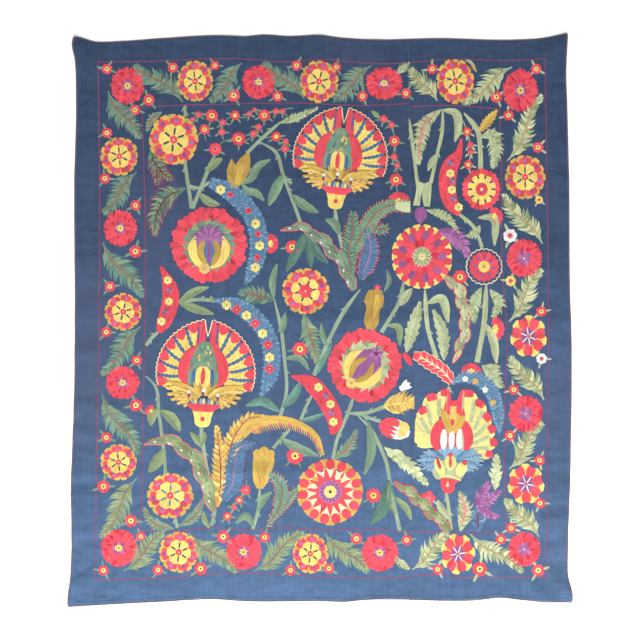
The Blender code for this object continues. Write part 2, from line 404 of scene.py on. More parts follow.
class Hand:
    """Draws in a motif's own frame: its middle on the chart, its turn, its stretch, its layer.

    Inside a motif x is to the right and y down, as on the chart. A clock angle starts at the top
    and goes round to the right.
    """

    def __init__(self, work, x=0.0, y=0.0, turn=0.0, wide=1.0, high=1.0, level=0, side=0, spin=0.0):
        self.work = work
        self.middle = np.array([x, y], float)
        self.turn = np.radians(turn)
        self.wide = wide
        self.high = high
        self.level = level
        self.side = side
        self.spin = spin

    def tint(self, shade, spread=TINT_SPREAD):
        """The silk's light values, a little lighter or darker from one patch to the next."""
        if isinstance(shade, str):
            shade = light_of(shade)
        return shade * (1 + spread * self.work.random.uniform(-1, 1))

    def chart(self, points):
        """The motif's points on the chart: stretched, turned and moved, and cut at the seam."""
        points = points * np.array([self.wide, self.high])
        c, s = np.cos(self.turn), np.sin(self.turn)
        x = self.middle[0] + c * points[..., 0] - s * points[..., 1]
        y = self.middle[1] + s * points[..., 0] + c * points[..., 1]
        if self.side:
            seam = seam_at(y)
            if self.side < 0:
                x = np.minimum(x, seam - SEAM_CLEARANCE)
            else:
                x = np.maximum(x, seam + SEAM_CLEARANCE)
        return x, y

    def fill(self, left, right, shade, level=0, cols=5, crown=1.0, across=False, ends=0.0,
             spread=TINT_SPREAD):
        """Stitches between two curves of as many points: straight lines from left to right.

        The crown is one less the square of the distance from the middle line, and sinks at the
        ends too. Threads run along the curves, or across from one to the other.
        """
        rows = len(left)
        s = np.linspace(-1, 1, cols)
        share = (s + 1) / 2
        points = left[:, None] + (right - left)[:, None] * share[None, :, None]
        x, y = self.chart(points)
        step = np.hypot(np.diff(x[:, cols // 2]), np.diff(y[:, cols // 2]))
        along = np.concatenate([[0], np.cumsum(step)])[:, None] * np.ones(cols)
        width = np.hypot(x[:, -1] - x[:, 0], y[:, -1] - y[:, 0])
        aside = width[:, None] * (share - 0.5)[None, :]
        shape = (1 - s**2)[None, :] * np.ones((rows, 1))
        if ends:
            t = np.linspace(0, 1, rows)
            shape = shape * np.clip(np.minimum(t, 1 - t) / ends, 0, 1)[:, None] ** 0.5
        shape = shape * np.minimum(1, width / NARROW_PATCH)[:, None] * crown
        shift = self.work.random.uniform(0, 1, 2)
        thread = [along * UNIT + shift[0], aside * UNIT + shift[1]]
        if across:
            thread = thread[::-1]
        self.work.patch(x, y, shape, self.level + level, thread, self.tint(shade, spread))

    def band(self, path, half, shade, level=0, rows=0, cols=5, crown=1.0, teeth=0, bite=0.4,
             spread=TINT_SPREAD):
        """A band along a smooth path. half is its half width, or a row of them from end to end.

        Teeth cut into both edges: the width falls by the bite along each tooth.
        """
        path = np.asarray(path, float)
        rows = max(rows, int(path_length(path) / ROW_PITCH) + 2, 5 * teeth + 1 if teeth else 0)
        line = smooth_path(path, rows)
        t = np.linspace(0, 1, rows)
        half = np.atleast_1d(np.asarray(half, float))
        width = np.interp(t, np.linspace(0, 1, len(half)), half) if len(half) > 1 else half[0] + 0 * t
        if teeth:
            width = width * (1 - bite * saw(t, teeth))
        self.fill(beside(line, width), beside(line, -width), shade, level, cols, crown, spread=spread)

    def halves(self, line, width, light, dark, level, crown):
        """The two halves of a leaf beside its middle line, in a light tone and a dark one."""
        self.fill(beside(line, width), line, light, level, 4, crown)
        self.fill(line, beside(line, -width), dark, level, 4, crown)

    def petal(self, root, tip, half, shade, bow=0.0, level=0, rows=6, cols=3, crown=1.0,
              profile=(0.5, 0.85, 1, 0.95, 0.7, 0.08), teeth=0, bite=0.3, spread=TINT_SPREAD):
        """A petal from its root to its tip, that wide in the middle, bowed sideways by its bow."""
        root, tip = np.asarray(root, float), np.asarray(tip, float)
        run = tip - root
        middle = (root + tip) / 2 + np.array([run[1], -run[0]]) * bow
        path = [root, middle, tip] if bow else [root, tip]
        self.band(path, half * np.array(profile), shade, level, rows, cols, crown, teeth, bite, spread)

    def ray(self, clock, inner, outer, half, shade, **more):
        """A petal that points straight out from the motif's middle."""
        self.petal(self.clock_place(clock, inner), self.clock_place(clock, outer), half, shade, **more)

    def wheel(self, count, start, inner, outer, half, shades, jitter=None, **more):
        """That many rays at even clock angles from the start, in the named shades by turns.

        With a jitter, each ray's outer end is moved by a chance factor between its two values.
        """
        names = shades.split()
        for k in range(count):
            reach = outer * self.work.random.uniform(*jitter) if jitter else outer
            self.ray(start + k * 360 / count, inner, reach, half, names[k % len(names)], **more)

    def clock_place(self, clock, reach):
        """The place that far from the motif's middle at that clock angle."""
        angle = np.radians(clock + self.spin)
        return np.array([np.sin(angle), -np.cos(angle)]) * reach

    def ring(self, inner, outer, shade, level=0, lobes=0, depth=0.0, start=0.0, rows=4, steps=0,
             middle=(0, 0), crown=1.0, spread=TINT_SPREAD):
        """A ring of stitches that point outwards. Its rim dips between that many lobes."""
        steps = steps or max(24, 6 * lobes) + 1
        clock = np.linspace(0, 2 * np.pi, steps)
        dip = 1
        if lobes:
            bump = np.abs(np.cos(lobes * (clock - np.radians(start + self.spin)) / 2)) ** 0.7
            dip = 1 - depth * (1 - bump)
        share = 1 - (1 - np.linspace(0, 1, rows)[:, None]) ** 1.6
        reach = between(inner, outer * dip * np.ones(steps), share)
        points = np.stack([reach * np.sin(clock), -reach * np.cos(clock)], axis=-1) + np.array(middle)
        x, y = self.chart(points)
        shape = 1 - (2 * share - 1) ** 2 if inner else 1 - share**2
        shape = np.clip(shape, 0, 1) * np.ones(steps) * crown
        thread = [reach * UNIT, clock * np.ones((rows, 1)) * outer * UNIT]
        self.work.patch(x, y, shape, self.level + level, thread, self.tint(shade, spread))

    def disc(self, radius, shade, middle=(0, 0), level=0, **more):
        """A round spot of stitches."""
        self.ring(0.0, radius, shade, level, middle=middle, **more)


# The flowers

GOLD_SPOKES = 6
STAR_UNITS = 7
ZIGZAG_UNITS = 15


def fringed_rosette(hand, r, eye="yellow", pupil="eye", reach=0.37):
    """Red petals in close rows of short stitches, a blunt star and an eye in the middle."""
    random = hand.work.random
    hand.disc(0.94 * r, "red", level=0, crown=0.5)
    for inner, outer, count, level in ((0.72, 0.99, 36, 1), (0.54, 0.82, 30, 1.6), (0.34, 0.62, 24, 2.2),
                                       (0.16, 0.42, 16, 2.8)):
        for k in range(count):
            hand.ray((k + random.uniform(-0.2, 0.2)) * 360 / count, inner * r,
                     r * outer * random.uniform(0.95, 1.05), 3.1 * outer / count * r,
                     "red" if random.uniform() < 0.85 else "crimson", level=level, rows=5,
                     profile=(0.7, 0.9, 1, 0.9, 0.5), spread=0.16)
    for k in range(8):
        hand.ray(k * 45, 0.15 * r, reach * r * (1 if k % 2 else 0.85), 0.1 * r,
                 "purple" if k % 3 else "lilac", level=3.8, profile=(1, 1, 1, 0.95, 0.85, 0.5))
    hand.disc(0.22 * r, eye, level=4.6, lobes=6, depth=0.16, crown=0.7)
    hand.disc(0.045 * r, pupil, level=6)


def pale_rosette(hand, r):
    """A fringed rosette with a wide purple star and a small white eye."""
    fringed_rosette(hand, r, "lilac", "white", 0.45)


def gold_rosette(hand, r, units=7, hub=0.16, spoke="navy"):
    """Gold scallops at the rim, red patches with purple hearts on them, a spoked yellow middle."""
    random = hand.work.random
    hand.disc(0.94 * r, "gold", crown=0.4)
    hand.wheel(2 * units, 90 / units, 0.6 * r, r, 0.17 * r, "gold", (0.97, 1.03), level=0.4, crown=0.8,
               profile=(0.7, 0.8, 1, 1.1, 1.1, 0.7), spread=0.14)
    for k in range(units):
        clock = k * 360 / units
        for lean, reach in ((-13, 0.87), (0, 0.95), (13, 0.87)):
            hand.ray(clock + lean * 7 / units, 0.5 * r, reach * r * random.uniform(0.97, 1.03),
                     0.92 * r / units, "red", level=1.6, rows=7, crown=0.8,
                     profile=(0.7, 0.9, 1, 1, 0.95, 0.6), spread=0.22)
        hand.disc(0.1 * r, "purple" if k % 2 else "lilac", hand.clock_place(clock, 0.74 * r), level=3.2,
                  steps=11, rows=3)
    hand.disc(0.54 * r, "yellow", level=2.4, crown=0.4)
    for k in range(GOLD_SPOKES):
        hand.ray((k + 0.5) * 360 / GOLD_SPOKES, 0.12 * r, 0.61 * r, 1.45 * r / GOLD_SPOKES, "yellow",
                 level=3, cols=5, crown=0.6, profile=(0.4, 0.7, 0.95, 1.05, 1, 0.6), spread=0.1)
        hand.ray(k * 360 / GOLD_SPOKES, 0.2 * r, 0.47 * r, 0.04 * r, spoke, level=4.4,
                 profile=(0.8, 1, 1, 1, 1, 0.6))
    hand.wheel(6, 0, 0.02 * r, hub * r, 0.42 * hub * r, "red", level=4.6, rows=4, profile=(0.7, 1, 1, 0.7),
               spread=0.16)
    hand.disc(0.04 * r, "cream", level=6.4, steps=9, rows=2)


def star_rosette(hand, r):
    """Round red petals with yellow between them, and a purple middle with a white star."""
    hand.disc(0.93 * r, "yellow", level=0, crown=0.4)
    for k in range(STAR_UNITS):
        clock = (k + 0.5) * 360 / STAR_UNITS
        hand.ray(clock, 0.5 * r, 1.02 * r, 0.25 * r, "yellow", level=0.5,
                 profile=(0.3, 0.5, 0.8, 1, 1, 0.6))
        hand.ray(clock, 0.36 * r, 0.88 * r, 0.045 * r, "gold", level=2)
        for lean in (-8, 8):
            hand.ray(k * 360 / STAR_UNITS + lean, 0.34 * r, 0.92 * r, 0.15 * r, "red", level=2.4, rows=8,
                     cols=5, crown=0.8, profile=(0.4, 0.75, 1, 1.1, 1, 0.6), spread=0.16)
    hand.disc(0.44 * r, "purple", level=3.4, lobes=STAR_UNITS, depth=0.12, start=180 / STAR_UNITS, crown=0.4)
    hand.wheel(6, 15, 0.05 * r, 0.48 * r, 0.03 * r, "white", level=5.4)
    hand.disc(0.07 * r, "red", level=6)


def red_ring_rosette(hand, r):
    """A fringed red rim, a yellow ring with dark spokes, and a red middle."""
    hand.disc(0.9 * r, "crimson", crown=0.4)
    hand.wheel(24, 0, 0.6 * r, r, 0.14 * r, "red", (0.95, 1.05), level=1,
               profile=(0.7, 0.85, 0.95, 1, 0.85, 0.4), spread=0.2)
    for k in range(10):
        hand.ray(k * 36, 0.3 * r, 0.74 * r, 0.16 * r, "yellow", level=2.4, crown=0.7,
                 profile=(0.9, 1, 1.1, 1.2, 1.1, 0.7))
        hand.ray((k + 0.5) * 36, 0.5 * r, 0.72 * r, 0.045 * r, "navy", level=4)
    hand.disc(0.34 * r, "red", level=3.4, lobes=10, depth=0.1, crown=0.8)
    hand.disc(0.08 * r, "cream", level=5.4)


def ringed_rosette(hand, r):
    """A red and purple flower inside a scalloped white outline."""
    rim = np.linspace(0, 2 * np.pi, 181)
    reach = r * (0.94 + 0.07 * np.abs(np.sin(11 * rim)))
    hand.band(np.stack([reach * np.sin(rim), -reach * np.cos(rim)], axis=1), 0.035 * r, "cream", rows=181,
              cols=3)
    hand.disc(0.78 * r, "crimson", level=0.5, crown=0.4)
    hand.wheel(16, 0, 0.3 * r, 0.84 * r, 0.14 * r, "red", level=1.4, spread=0.2,
               profile=(0.7, 0.9, 1, 1.1, 1, 0.5))
    hand.wheel(8, 11, 0.35 * r, 0.68 * r, 0.08 * r, "purple", level=2.8)
    hand.disc(0.33 * r, "yellow", level=3.4, lobes=8, depth=0.12, crown=0.7)
    hand.disc(0.08 * r, "olive", level=5)


def zigzag_rosette(hand, r):
    """The large rosette: red knots on a gold rim, cream wedges, a red star, a purple ring, an eye."""
    random = hand.work.random
    hand.disc(0.9 * r, "gold", crown=0.4)
    for k in range(ZIGZAG_UNITS):
        clock = k * 360 / ZIGZAG_UNITS
        between_knots = clock + 180 / ZIGZAG_UNITS
        hand.ray(between_knots, 0.72 * r, r * random.uniform(0.98, 1.03), 0.14 * r, "gold", level=0.5,
                 rows=7, profile=(0.7, 0.8, 1, 1.1, 1.1, 0.7), spread=0.12)
        hand.ray(clock, 0.68 * r, 0.98 * r, 0.12 * r, "red", level=2.6, cols=5, crown=0.9,
                 profile=(0.5, 1, 1.1, 1.15, 1, 0.6), spread=0.16)
        hand.ray(between_knots, 0.3 * r, 0.74 * r, 0.115 * r, "red", level=2, crown=0.8,
                 profile=(1, 1, 0.85, 0.6, 0.32, 0.05), spread=0.16)
    hand.disc(0.76 * r, "cream", level=1.2, crown=0.4)
    hand.disc(0.43 * r, "red", level=2.4, crown=0.4)
    hand.disc(0.36 * r, "lilac", level=3.6, lobes=16, depth=0.1, crown=0.4)
    hand.wheel(16, 0, 0.18 * r, 0.34 * r, 0.035 * r, "purple", level=4.4, rows=4)
    hand.disc(0.2 * r, "lemon", level=5, lobes=10, depth=0.12, crown=0.6)
    hand.disc(0.045 * r, "eye", level=7)


def cream_rim_rosette(hand, r):
    """The rosette on the narrow panel: cream rim, red petals, purple flecks and a green middle."""
    random = hand.work.random
    hand.disc(0.95 * r, "yellow", crown=0.4)
    for k in range(18):
        hand.ray(k * 20 + 10, 0.76 * r, r * random.uniform(0.97, 1.02), 0.13 * r, "yellow", level=0.4,
                 profile=(0.9, 1, 1.1, 1.1, 1.1, 0.7), spread=0.1)
        hand.ray(k * 20, 0.74 * r, 0.98 * r * random.uniform(0.96, 1.02), 0.105 * r, "red", level=1.8,
                 cols=5, profile=(0.6, 1, 1.1, 1.1, 1, 0.6), spread=0.16)
    hand.disc(0.78 * r, "red", level=1.2, lobes=18, depth=0.05, crown=0.4)
    hand.wheel(18, 10, 0.52 * r, 0.82 * r, 0.09 * r, "purple red", level=2.4,
               profile=(0.7, 1, 1, 1, 0.8, 0.3), spread=0.2)
    hand.wheel(17, 0, 0.2 * r, 0.6 * r, 0.085 * r, "crimson red red red", (0.9, 1.1), level=3.2, spread=0.2)
    hand.disc(0.33 * r, "sage", level=4.6, lobes=16, depth=0.14, crown=0.6)
    hand.wheel(12, 0, 0.15 * r, 0.29 * r, 0.03 * r, "moss", level=5.6, rows=4)
    hand.disc(0.12 * r, "lemon", level=6, lobes=6, depth=0.2, rows=3)
    hand.disc(0.04 * r, "blush", level=7.4, steps=9, rows=2)


def blossom(hand, r, petals="red", heart="yellow", pupil="eye", count=7):
    """A small flower: round petals, a bright heart and a dark pupil."""
    hand.disc(0.84 * r, petals, steps=15, rows=3, crown=0.5)
    hand.wheel(count, 0, 0.15 * r, 1.06 * r, 0.42 * r, petals, level=0.5, rows=5, crown=0.8,
               profile=(0.3, 0.7, 1, 1, 0.5), spread=0.16)
    hand.disc(0.5 * r, heart, level=1.8, steps=15, rows=3, lobes=5, depth=0.1, crown=0.6)
    if pupil:
        hand.disc(0.16 * r, pupil, level=3.6, steps=9, rows=2)


def half_blossom(hand, r):
    """A flower seen half: scalloped red petals over a fan-shaped heart."""
    hand.petal((-0.9 * r, -0.3 * r), (0.9 * r, -0.3 * r), 0.4 * r, "red", cols=5, crown=0.5,
               profile=(0.5, 0.9, 1, 1, 0.9, 0.5))
    for clock in (-78, -52, -26, 0, 26, 52, 78):
        hand.ray(clock, 0.2 * r, r, 0.25 * r, "red", level=0.8, profile=(0.5, 0.8, 1, 1, 0.9, 0.5),
                 spread=0.18)
    for clock in (-45, 0, 45):
        hand.ray(clock, 0.0, 0.5 * r, 0.18 * r, "yellow", level=2.2)


# The leaves, pods and crescents

LEAF_BROAD = 0.62
LOBE_LEAN = 50
POD_HAIRS = 30


def feathered_leaf(hand, path, half, shades, rib, lobes, foot=0.87, hairs=None, fullness=0.62):
    """A leaf with a solid body and pointed lobes down both sides, from its thin tip to its stalk.

    The half width rises along the rib to its full size at the share LEAF_BROAD, and falls to that of
    the stalk at the share foot. The lobes point to the tip, and lean out most where it is widest.
    Hairs of another silk may stand on the ends of the lobes.
    """
    rib_line = smooth_path(path, SPINE_SAMPLES)
    run = np.gradient(rib_line, axis=0)
    run /= np.hypot(run[:, 0], run[:, 1])[:, None]
    random = hand.work.random
    t = np.linspace(0, 1, SPINE_SAMPLES)
    width = np.interp(t, (0, 0.12, 0.4, LEAF_BROAD, between(LEAF_BROAD, foot, 0.5), foot, foot + 0.05, 1),
                      (0.12, 0.34, 0.7, 1.0, 0.85, 0.4, 0.16, 0.11)) * half
    body = fullness * width + 0.25
    base = light_of(shades[0])
    hand.fill(beside(rib_line, body)[::2], rib_line[::2], base * 1.06, 0, 4, 0.6)
    hand.fill(rib_line[::2], beside(rib_line, -body)[::2], base * 0.86, 0, 4, 0.6)
    length = path_length(rib_line)
    for side in (-1, 1):
        for k in range(lobes):
            share = (k + 0.5 + 0.25 * side) / lobes * foot
            i = int(share * (SPINE_SAMPLES - 1))
            aside = side * np.array([run[i][1], -run[i][0]])
            angle = np.radians(between(0.6, 1.15, width[i] / half) * LOBE_LEAN * random.uniform(0.85, 1.15))
            reach = width[i] * random.uniform(0.9, 1.3) / np.sin(angle)
            way = -run[i] * np.cos(angle) + aside * np.sin(angle)
            tone = light_of(shades[int(random.integers(len(shades)))]) * random.uniform(0.84, 1.14)
            root = rib_line[i] + 0.1 * reach * way
            hand.petal(root, rib_line[i] + way * reach, 0.44 * length / lobes, tone, bow=-0.12 * side,
                       level=0.5, rows=6, crown=0.9, profile=(0.85, 1, 0.8, 0.55, 0.3, 0.04))
            if hairs:
                for twist in (-0.35, 0.35):
                    hair = way + twist * run[i]
                    hand.petal(rib_line[i] + 0.6 * hair * reach, rib_line[i] + hair * (reach + 1.4), 0.45,
                               hairs, level=1.4, rows=4, profile=(0.5, 1, 0.8, 0.1))
            # Otherwise most lobes get a short stroke of the last silk brightened by a third: a painted
            # highlight
            elif random.uniform() < 0.6:
                hand.petal(between(root, rib_line[i] + way * reach, 0.25), rib_line[i] + 0.8 * way * reach,
                           0.4, light_of(shades[-1]) * 1.35, level=1.5, rows=3, profile=(0.5, 1, 0.2))
    if rib:
        hand.band(rib_line[6:70:7], (0.25, 0.45, 0.55, 0.45, 0.3), rib, level=1.8, cols=3, crown=0.6)
        for k in range(14):
            i = 6 + int(k * 4.6)
            aside = (-1) ** k * np.array([run[i][1], -run[i][0]])
            vein = 0.75 * width[i] * (aside - 0.8 * run[i])
            hand.petal(rib_line[i], rib_line[i] + vein, 0.36, rib, level=1.8, rows=4)


def jagged_leaf(hand, path, half, shade, teeth=0, bite=0.0):
    """A leaf that is smooth, or has saw teeth that point to its tip, the first point of the path."""
    base = light_of(shade)
    path = np.asarray(path, float)[::-1]
    rows = max(int(path_length(path) / 1.6), 6 * teeth + 1)
    line = smooth_path(path, rows)
    t = np.linspace(0, 1, rows)
    width = half * np.interp(t, (0, 0.14, 0.4, 0.75, 1), (0.15, 0.6, 1.0, 0.8, 0.2))
    if teeth:
        width = width * (1 - bite + bite * saw(t * 0.999, teeth)) * 1.1
    hand.halves(line, width, base * 1.08, base * 0.84, 1, 0.8)


def plaited_leaf(hand, path, half, shade, edge="rose", dash="white", links=7,
                 taper=(0.2, 0.9, 1, 1, 0.7)):
    """A long leaf stitched in overlapping pointed links, with a red edge and a pale dash in each."""
    line = smooth_path(path, 12 * links + 7)
    width = half * tapered(taper, len(line))
    random = hand.work.random
    for k in range(links):
        part = line[12 * k:12 * k + 19][::-1]
        size = width[12 * k:12 * k + 19][::-1]
        share = np.linspace(0, 1, len(part))
        swell = np.interp(share, (0, 0.2, 0.5, 0.8, 1), (0.5, 0.95, 1.08, 0.75, 0.1)) * size
        part = part + (-1) ** k * 0.24 * half * directions(part[-1] - part[0])[1]
        base = light_of(shade) * (1.16 if k % 2 else 0.84) * random.uniform(0.94, 1.06)
        level = 0.3 * (links - k)
        hand.fill(beside(part, swell + 0.8), beside(part, -swell - 0.8), edge, level, 3, 0.4)
        hand.halves(part, swell, base * 1.08, base * 0.84, level + 0.9, 0.8)
        i = 12 * k + 9
        out, aside = directions(line[i + 1] - line[i])
        for _ in range(4):
            spot = line[i] + aside * width[i] * random.uniform(-0.7, 0.7) + out * random.uniform(-4, 4)
            hand.petal(spot, spot - 2.6 * out + random.uniform(-0.6, 0.6) * aside, 0.5,
                       base * random.uniform(0.6, 1.5), level=level + 2.6, rows=3, profile=(0.5, 1, 0.4))
        if dash:
            spot = line[i] - 0.5 * width[i] * aside
            hand.petal(spot - 1.3 * out, spot + 1.3 * out - 0.5 * aside, 0.75, dash, level=level + 3, rows=4,
                       profile=(0.5, 1, 1, 0.4))
        elif edge == "red":
            for turn in (-1, 1):
                spot = line[i + 3 * turn] + turn * 0.8 * width[i] * aside
                hand.petal(spot - 1.8 * out, spot + 1.8 * out - turn * 0.9 * aside, 0.7, edge,
                           level=level + 3, rows=4)


def haired_leaf(hand, path, half, shade, hairs=("blush", "maroon"), taper=(0.3, 0.9, 1, 0.9, 0.5, 0.15),
                light="teal", rib="rib"):
    """A broad leaf of slanting stitches, with short light and dark hairs along both of its edges."""
    line = smooth_path(path, SPINE_SAMPLES)
    width = half * tapered(taper, SPINE_SAMPLES)
    base = light_of(shade)
    random = hand.work.random
    hand.halves(line, width, base * 1.05, base * 0.88, 1, 0.5)
    count = int(path_length(line) / 1.5)
    for side in (-1, 1):
        for k in range(count):
            i = 1 + int((k + 0.5) / count * (SPINE_SAMPLES - 3))
            ahead, aside = directions(line[i - 1] - line[i + 1])
            edge = line[i] - side * width[i] * aside
            out = -side * aside
            hair = edge + random.uniform(0.6, 2.8) * out + random.uniform(1, 2.2) * ahead
            hand.petal(edge - 1.4 * out - 0.8 * ahead, hair, 0.55, hairs[k % 2], level=0.6, rows=4,
                       profile=(0.6, 1, 0.8, 0.1), spread=0.2)
            root = between(line[i], edge, random.uniform(0.05, 0.5))
            tone = light_of((shade, light, "moss" if light == "teal" else light)[k % 3])
            hand.petal(root, between(root, edge, 0.85) + 2.2 * ahead, 0.62,
                       tone * random.uniform(0.85, 1.15), level=2, rows=4, profile=(0.6, 1, 0.9, 0.2))
    hand.band(line[6:74:6], (0.3, 0.6, 0.6, 0.4), rib, level=3, cols=3, crown=0.6)


def crescent(hand, path, half, shade, fleck, taper, hairs=46, fringe=1.0):
    """A curved horn of short crossing stitches, fringed at its edges."""
    line = smooth_path(path, SPINE_SAMPLES)
    width = half * tapered(taper, SPINE_SAMPLES)
    left, right = beside(line, width), beside(line, -width)
    hand.fill(left, right, shade, 0, 7, 0.5)
    random = hand.work.random
    for edge in (left, right):
        for k in range(hairs):
            i = int((k + 0.5) / hairs * (SPINE_SAMPLES - 3))
            out = (edge[i] - line[i]) / max(np.hypot(*(edge[i] - line[i])), 1e-6)
            tone = light_of(fleck if k % 2 else shade) * random.uniform(0.85, 1.15)
            slant = (line[i + 1] - line[i]) * random.uniform(-1, 1)
            hand.petal(edge[i] - 3.0 * out, edge[i] + fringe * random.uniform(0.5, 1.7) * out + slant, 0.6,
                       tone, level=1, rows=4, profile=(0.5, 1, 0.9, 0.2))
    for k in range(6 * hairs):
        i = 2 + int(random.integers(SPINE_SAMPLES - 5))
        place = line[i] + (left[i] - line[i]) * random.uniform(-0.85, 0.85)
        ahead, aside = directions(line[i + 1] - line[i - 1])
        way = (ahead + (-1) ** k * 0.8 * aside) * random.uniform(0.9, 1.7)
        tone = light_of(fleck if k % 3 else shade) * random.uniform(0.7, 1.1)
        hand.petal(place - way, place + way, 0.42, tone, level=1.5 + 0.3 * (k % 3), rows=3,
                   profile=(0.4, 1, 0.4))


def dot_with(hand, places, level, *flower):
    """The same small flower at each of those places."""
    for x, y in places:
        blossom(Hand(hand.work, x, y, level=level), *flower)


def pod(hand, path, half, hearts, flecks, taper):
    """A red horn with yellow flowers along it and purple flecks between them."""
    crescent(hand, path, half, "red", "red", taper, POD_HAIRS, 0.3)
    dot_with(hand, hearts, hand.level + 3, 0.47 * half, "lemon", "lemon", "eye", 6)
    for x, y in flecks:
        spot = Hand(hand.work, x, y, level=hand.level + 3)
        spot.wheel(4, 35, 0, 0.42 * half, 0.13 * half, "steel lilac", profile=(0.7, 1, 1, 0.8, 0.4))


# The pomegranates and the fan flowers


def pomegranate(hand, r, teeth, core="blue", knob=(-0.12, 0.6)):
    """A fruit in a fringed red ring: green saw teeth, yellow and gold lobes, a purple crown.

    In the motif's own frame the fruit's knob is at the bottom and its crown at the top.
    """
    random = hand.work.random
    hand.disc(0.93 * r, "red", crown=0.3)
    for k in range(36):
        hand.ray(k * 10 + random.uniform(-2, 2), 0.7 * r, r * random.uniform(0.94, 1.03), 0.1 * r, "red",
                 level=1, profile=(0.6, 0.8, 1, 1, 0.95, 0.5), spread=0.22)
        hand.ray(k * 10 + 5, 0.52 * r, r * random.uniform(0.78, 0.88), 0.085 * r,
                 "red" if k % 6 else "crimson", level=2, spread=0.22)
    hand.disc(0.62 * r, teeth, level=3.4, crown=0.3)
    for k in range(20):
        hand.petal(hand.clock_place(k * 18 - 7, 0.54 * r), hand.clock_place(k * 18 + 4, 0.72 * r), 0.085 * r,
                   "moss" if k % 3 == 0 else teeth, level=3.8, profile=(1.2, 1, 0.75, 0.5, 0.25, 0.04),
                   spread=0.1)
    hand.petal((0, 0.56 * r), (0, -0.46 * r), 0.42 * r, "purple", level=5, rows=11, cols=7, crown=0.4,
               profile=(0.3, 0.8, 1, 1, 0.85, 0.4))
    for side in (-1, 1):
        outer = smooth_path(np.array([(0.06, 0.61), (0.29, 0.55), (0.5, 0.3), (0.54, 0.0),
                                      (0.35, -0.28)]) * r, 16)
        inner = smooth_path(np.array([(0.03, 0.54), (0.15, 0.46), (0.28, 0.25), (0.33, 0.0),
                                      (0.33, -0.27)]) * r, 16)
        hand.fill(outer * (side, 1), inner * (side, 1), "yellow", level=6, ends=0.15)
        hand.petal((side * 0.08 * r, 0.52 * r), (side * 0.1 * r, -0.22 * r), 0.085 * r, "olive",
                   bow=-0.19 * side, level=7, rows=9, cols=5, profile=(0.4, 0.9, 1, 1, 0.8, 0.1))
    if core:
        hand.petal((0, 0.5 * r), (0, -0.16 * r), 0.15 * r, core, level=6, rows=9, cols=5, crown=0.5)
        hand.petal((0, 0.46 * r), (0, -0.22 * r), 0.05 * r, "purple", level=7, rows=7)
        for k, clock in enumerate(np.linspace(-88, 88, 11)):
            way = hand.clock_place(clock, 0.46 * r if k % 2 else 0.4 * r)
            hand.petal((0, -0.16 * r), way * (1, 0.96) + (0, -0.14 * r), 0.075 * r,
                       "purple" if k % 2 else "lilac", level=8, rows=7,
                       profile=(0.4, 0.8, 1, 0.9, 0.55, 0.06), spread=0.14)
    else:
        for k in range(10):
            way = hand.clock_place(k * 36, 0.21 * r)
            hand.petal((0, -0.44 * r), way + (0, -0.44 * r), 0.055 * r, "purple" if k % 2 else "lilac",
                       level=8, rows=5, profile=(1, 1, 0.8, 0.5, 0.1), spread=0.14)
        hand.disc(0.07 * r, "plum", (0, -0.44 * r), level=9.4, lobes=5, depth=0.2)
    spot = np.array(knob) * r
    hand.disc(0.15 * r, "ochre", spot, level=8, lobes=9, depth=0.2, rows=3)
    hand.disc(0.045 * r, "blush", spot, level=9.6, steps=11, rows=3)


FAN_FIRST = 16
FAN_STEP = 15.6
SCALLOP = 5.2
HEART_SHIFT = (-2.4, 0.0)


def rim_of_fan(clock):
    """How far the fan flower's rim is from its foot: evenly less from the top down to the sides."""
    return 58.5 - 0.135 * np.abs(clock)


def scallop(clock):
    """How far the bumps of the rim, three on each petal, stand out."""
    return 1.7 * np.abs(np.sin(np.pi * (np.abs(clock) - FAN_FIRST + FAN_STEP / 2) / SCALLOP))


def fan_arc(clocks, reach):
    """Points at those clock angles, that far from the foot."""
    angle = np.radians(clocks)
    return np.stack([np.sin(angle) * reach, -np.cos(angle) * reach], axis=1)


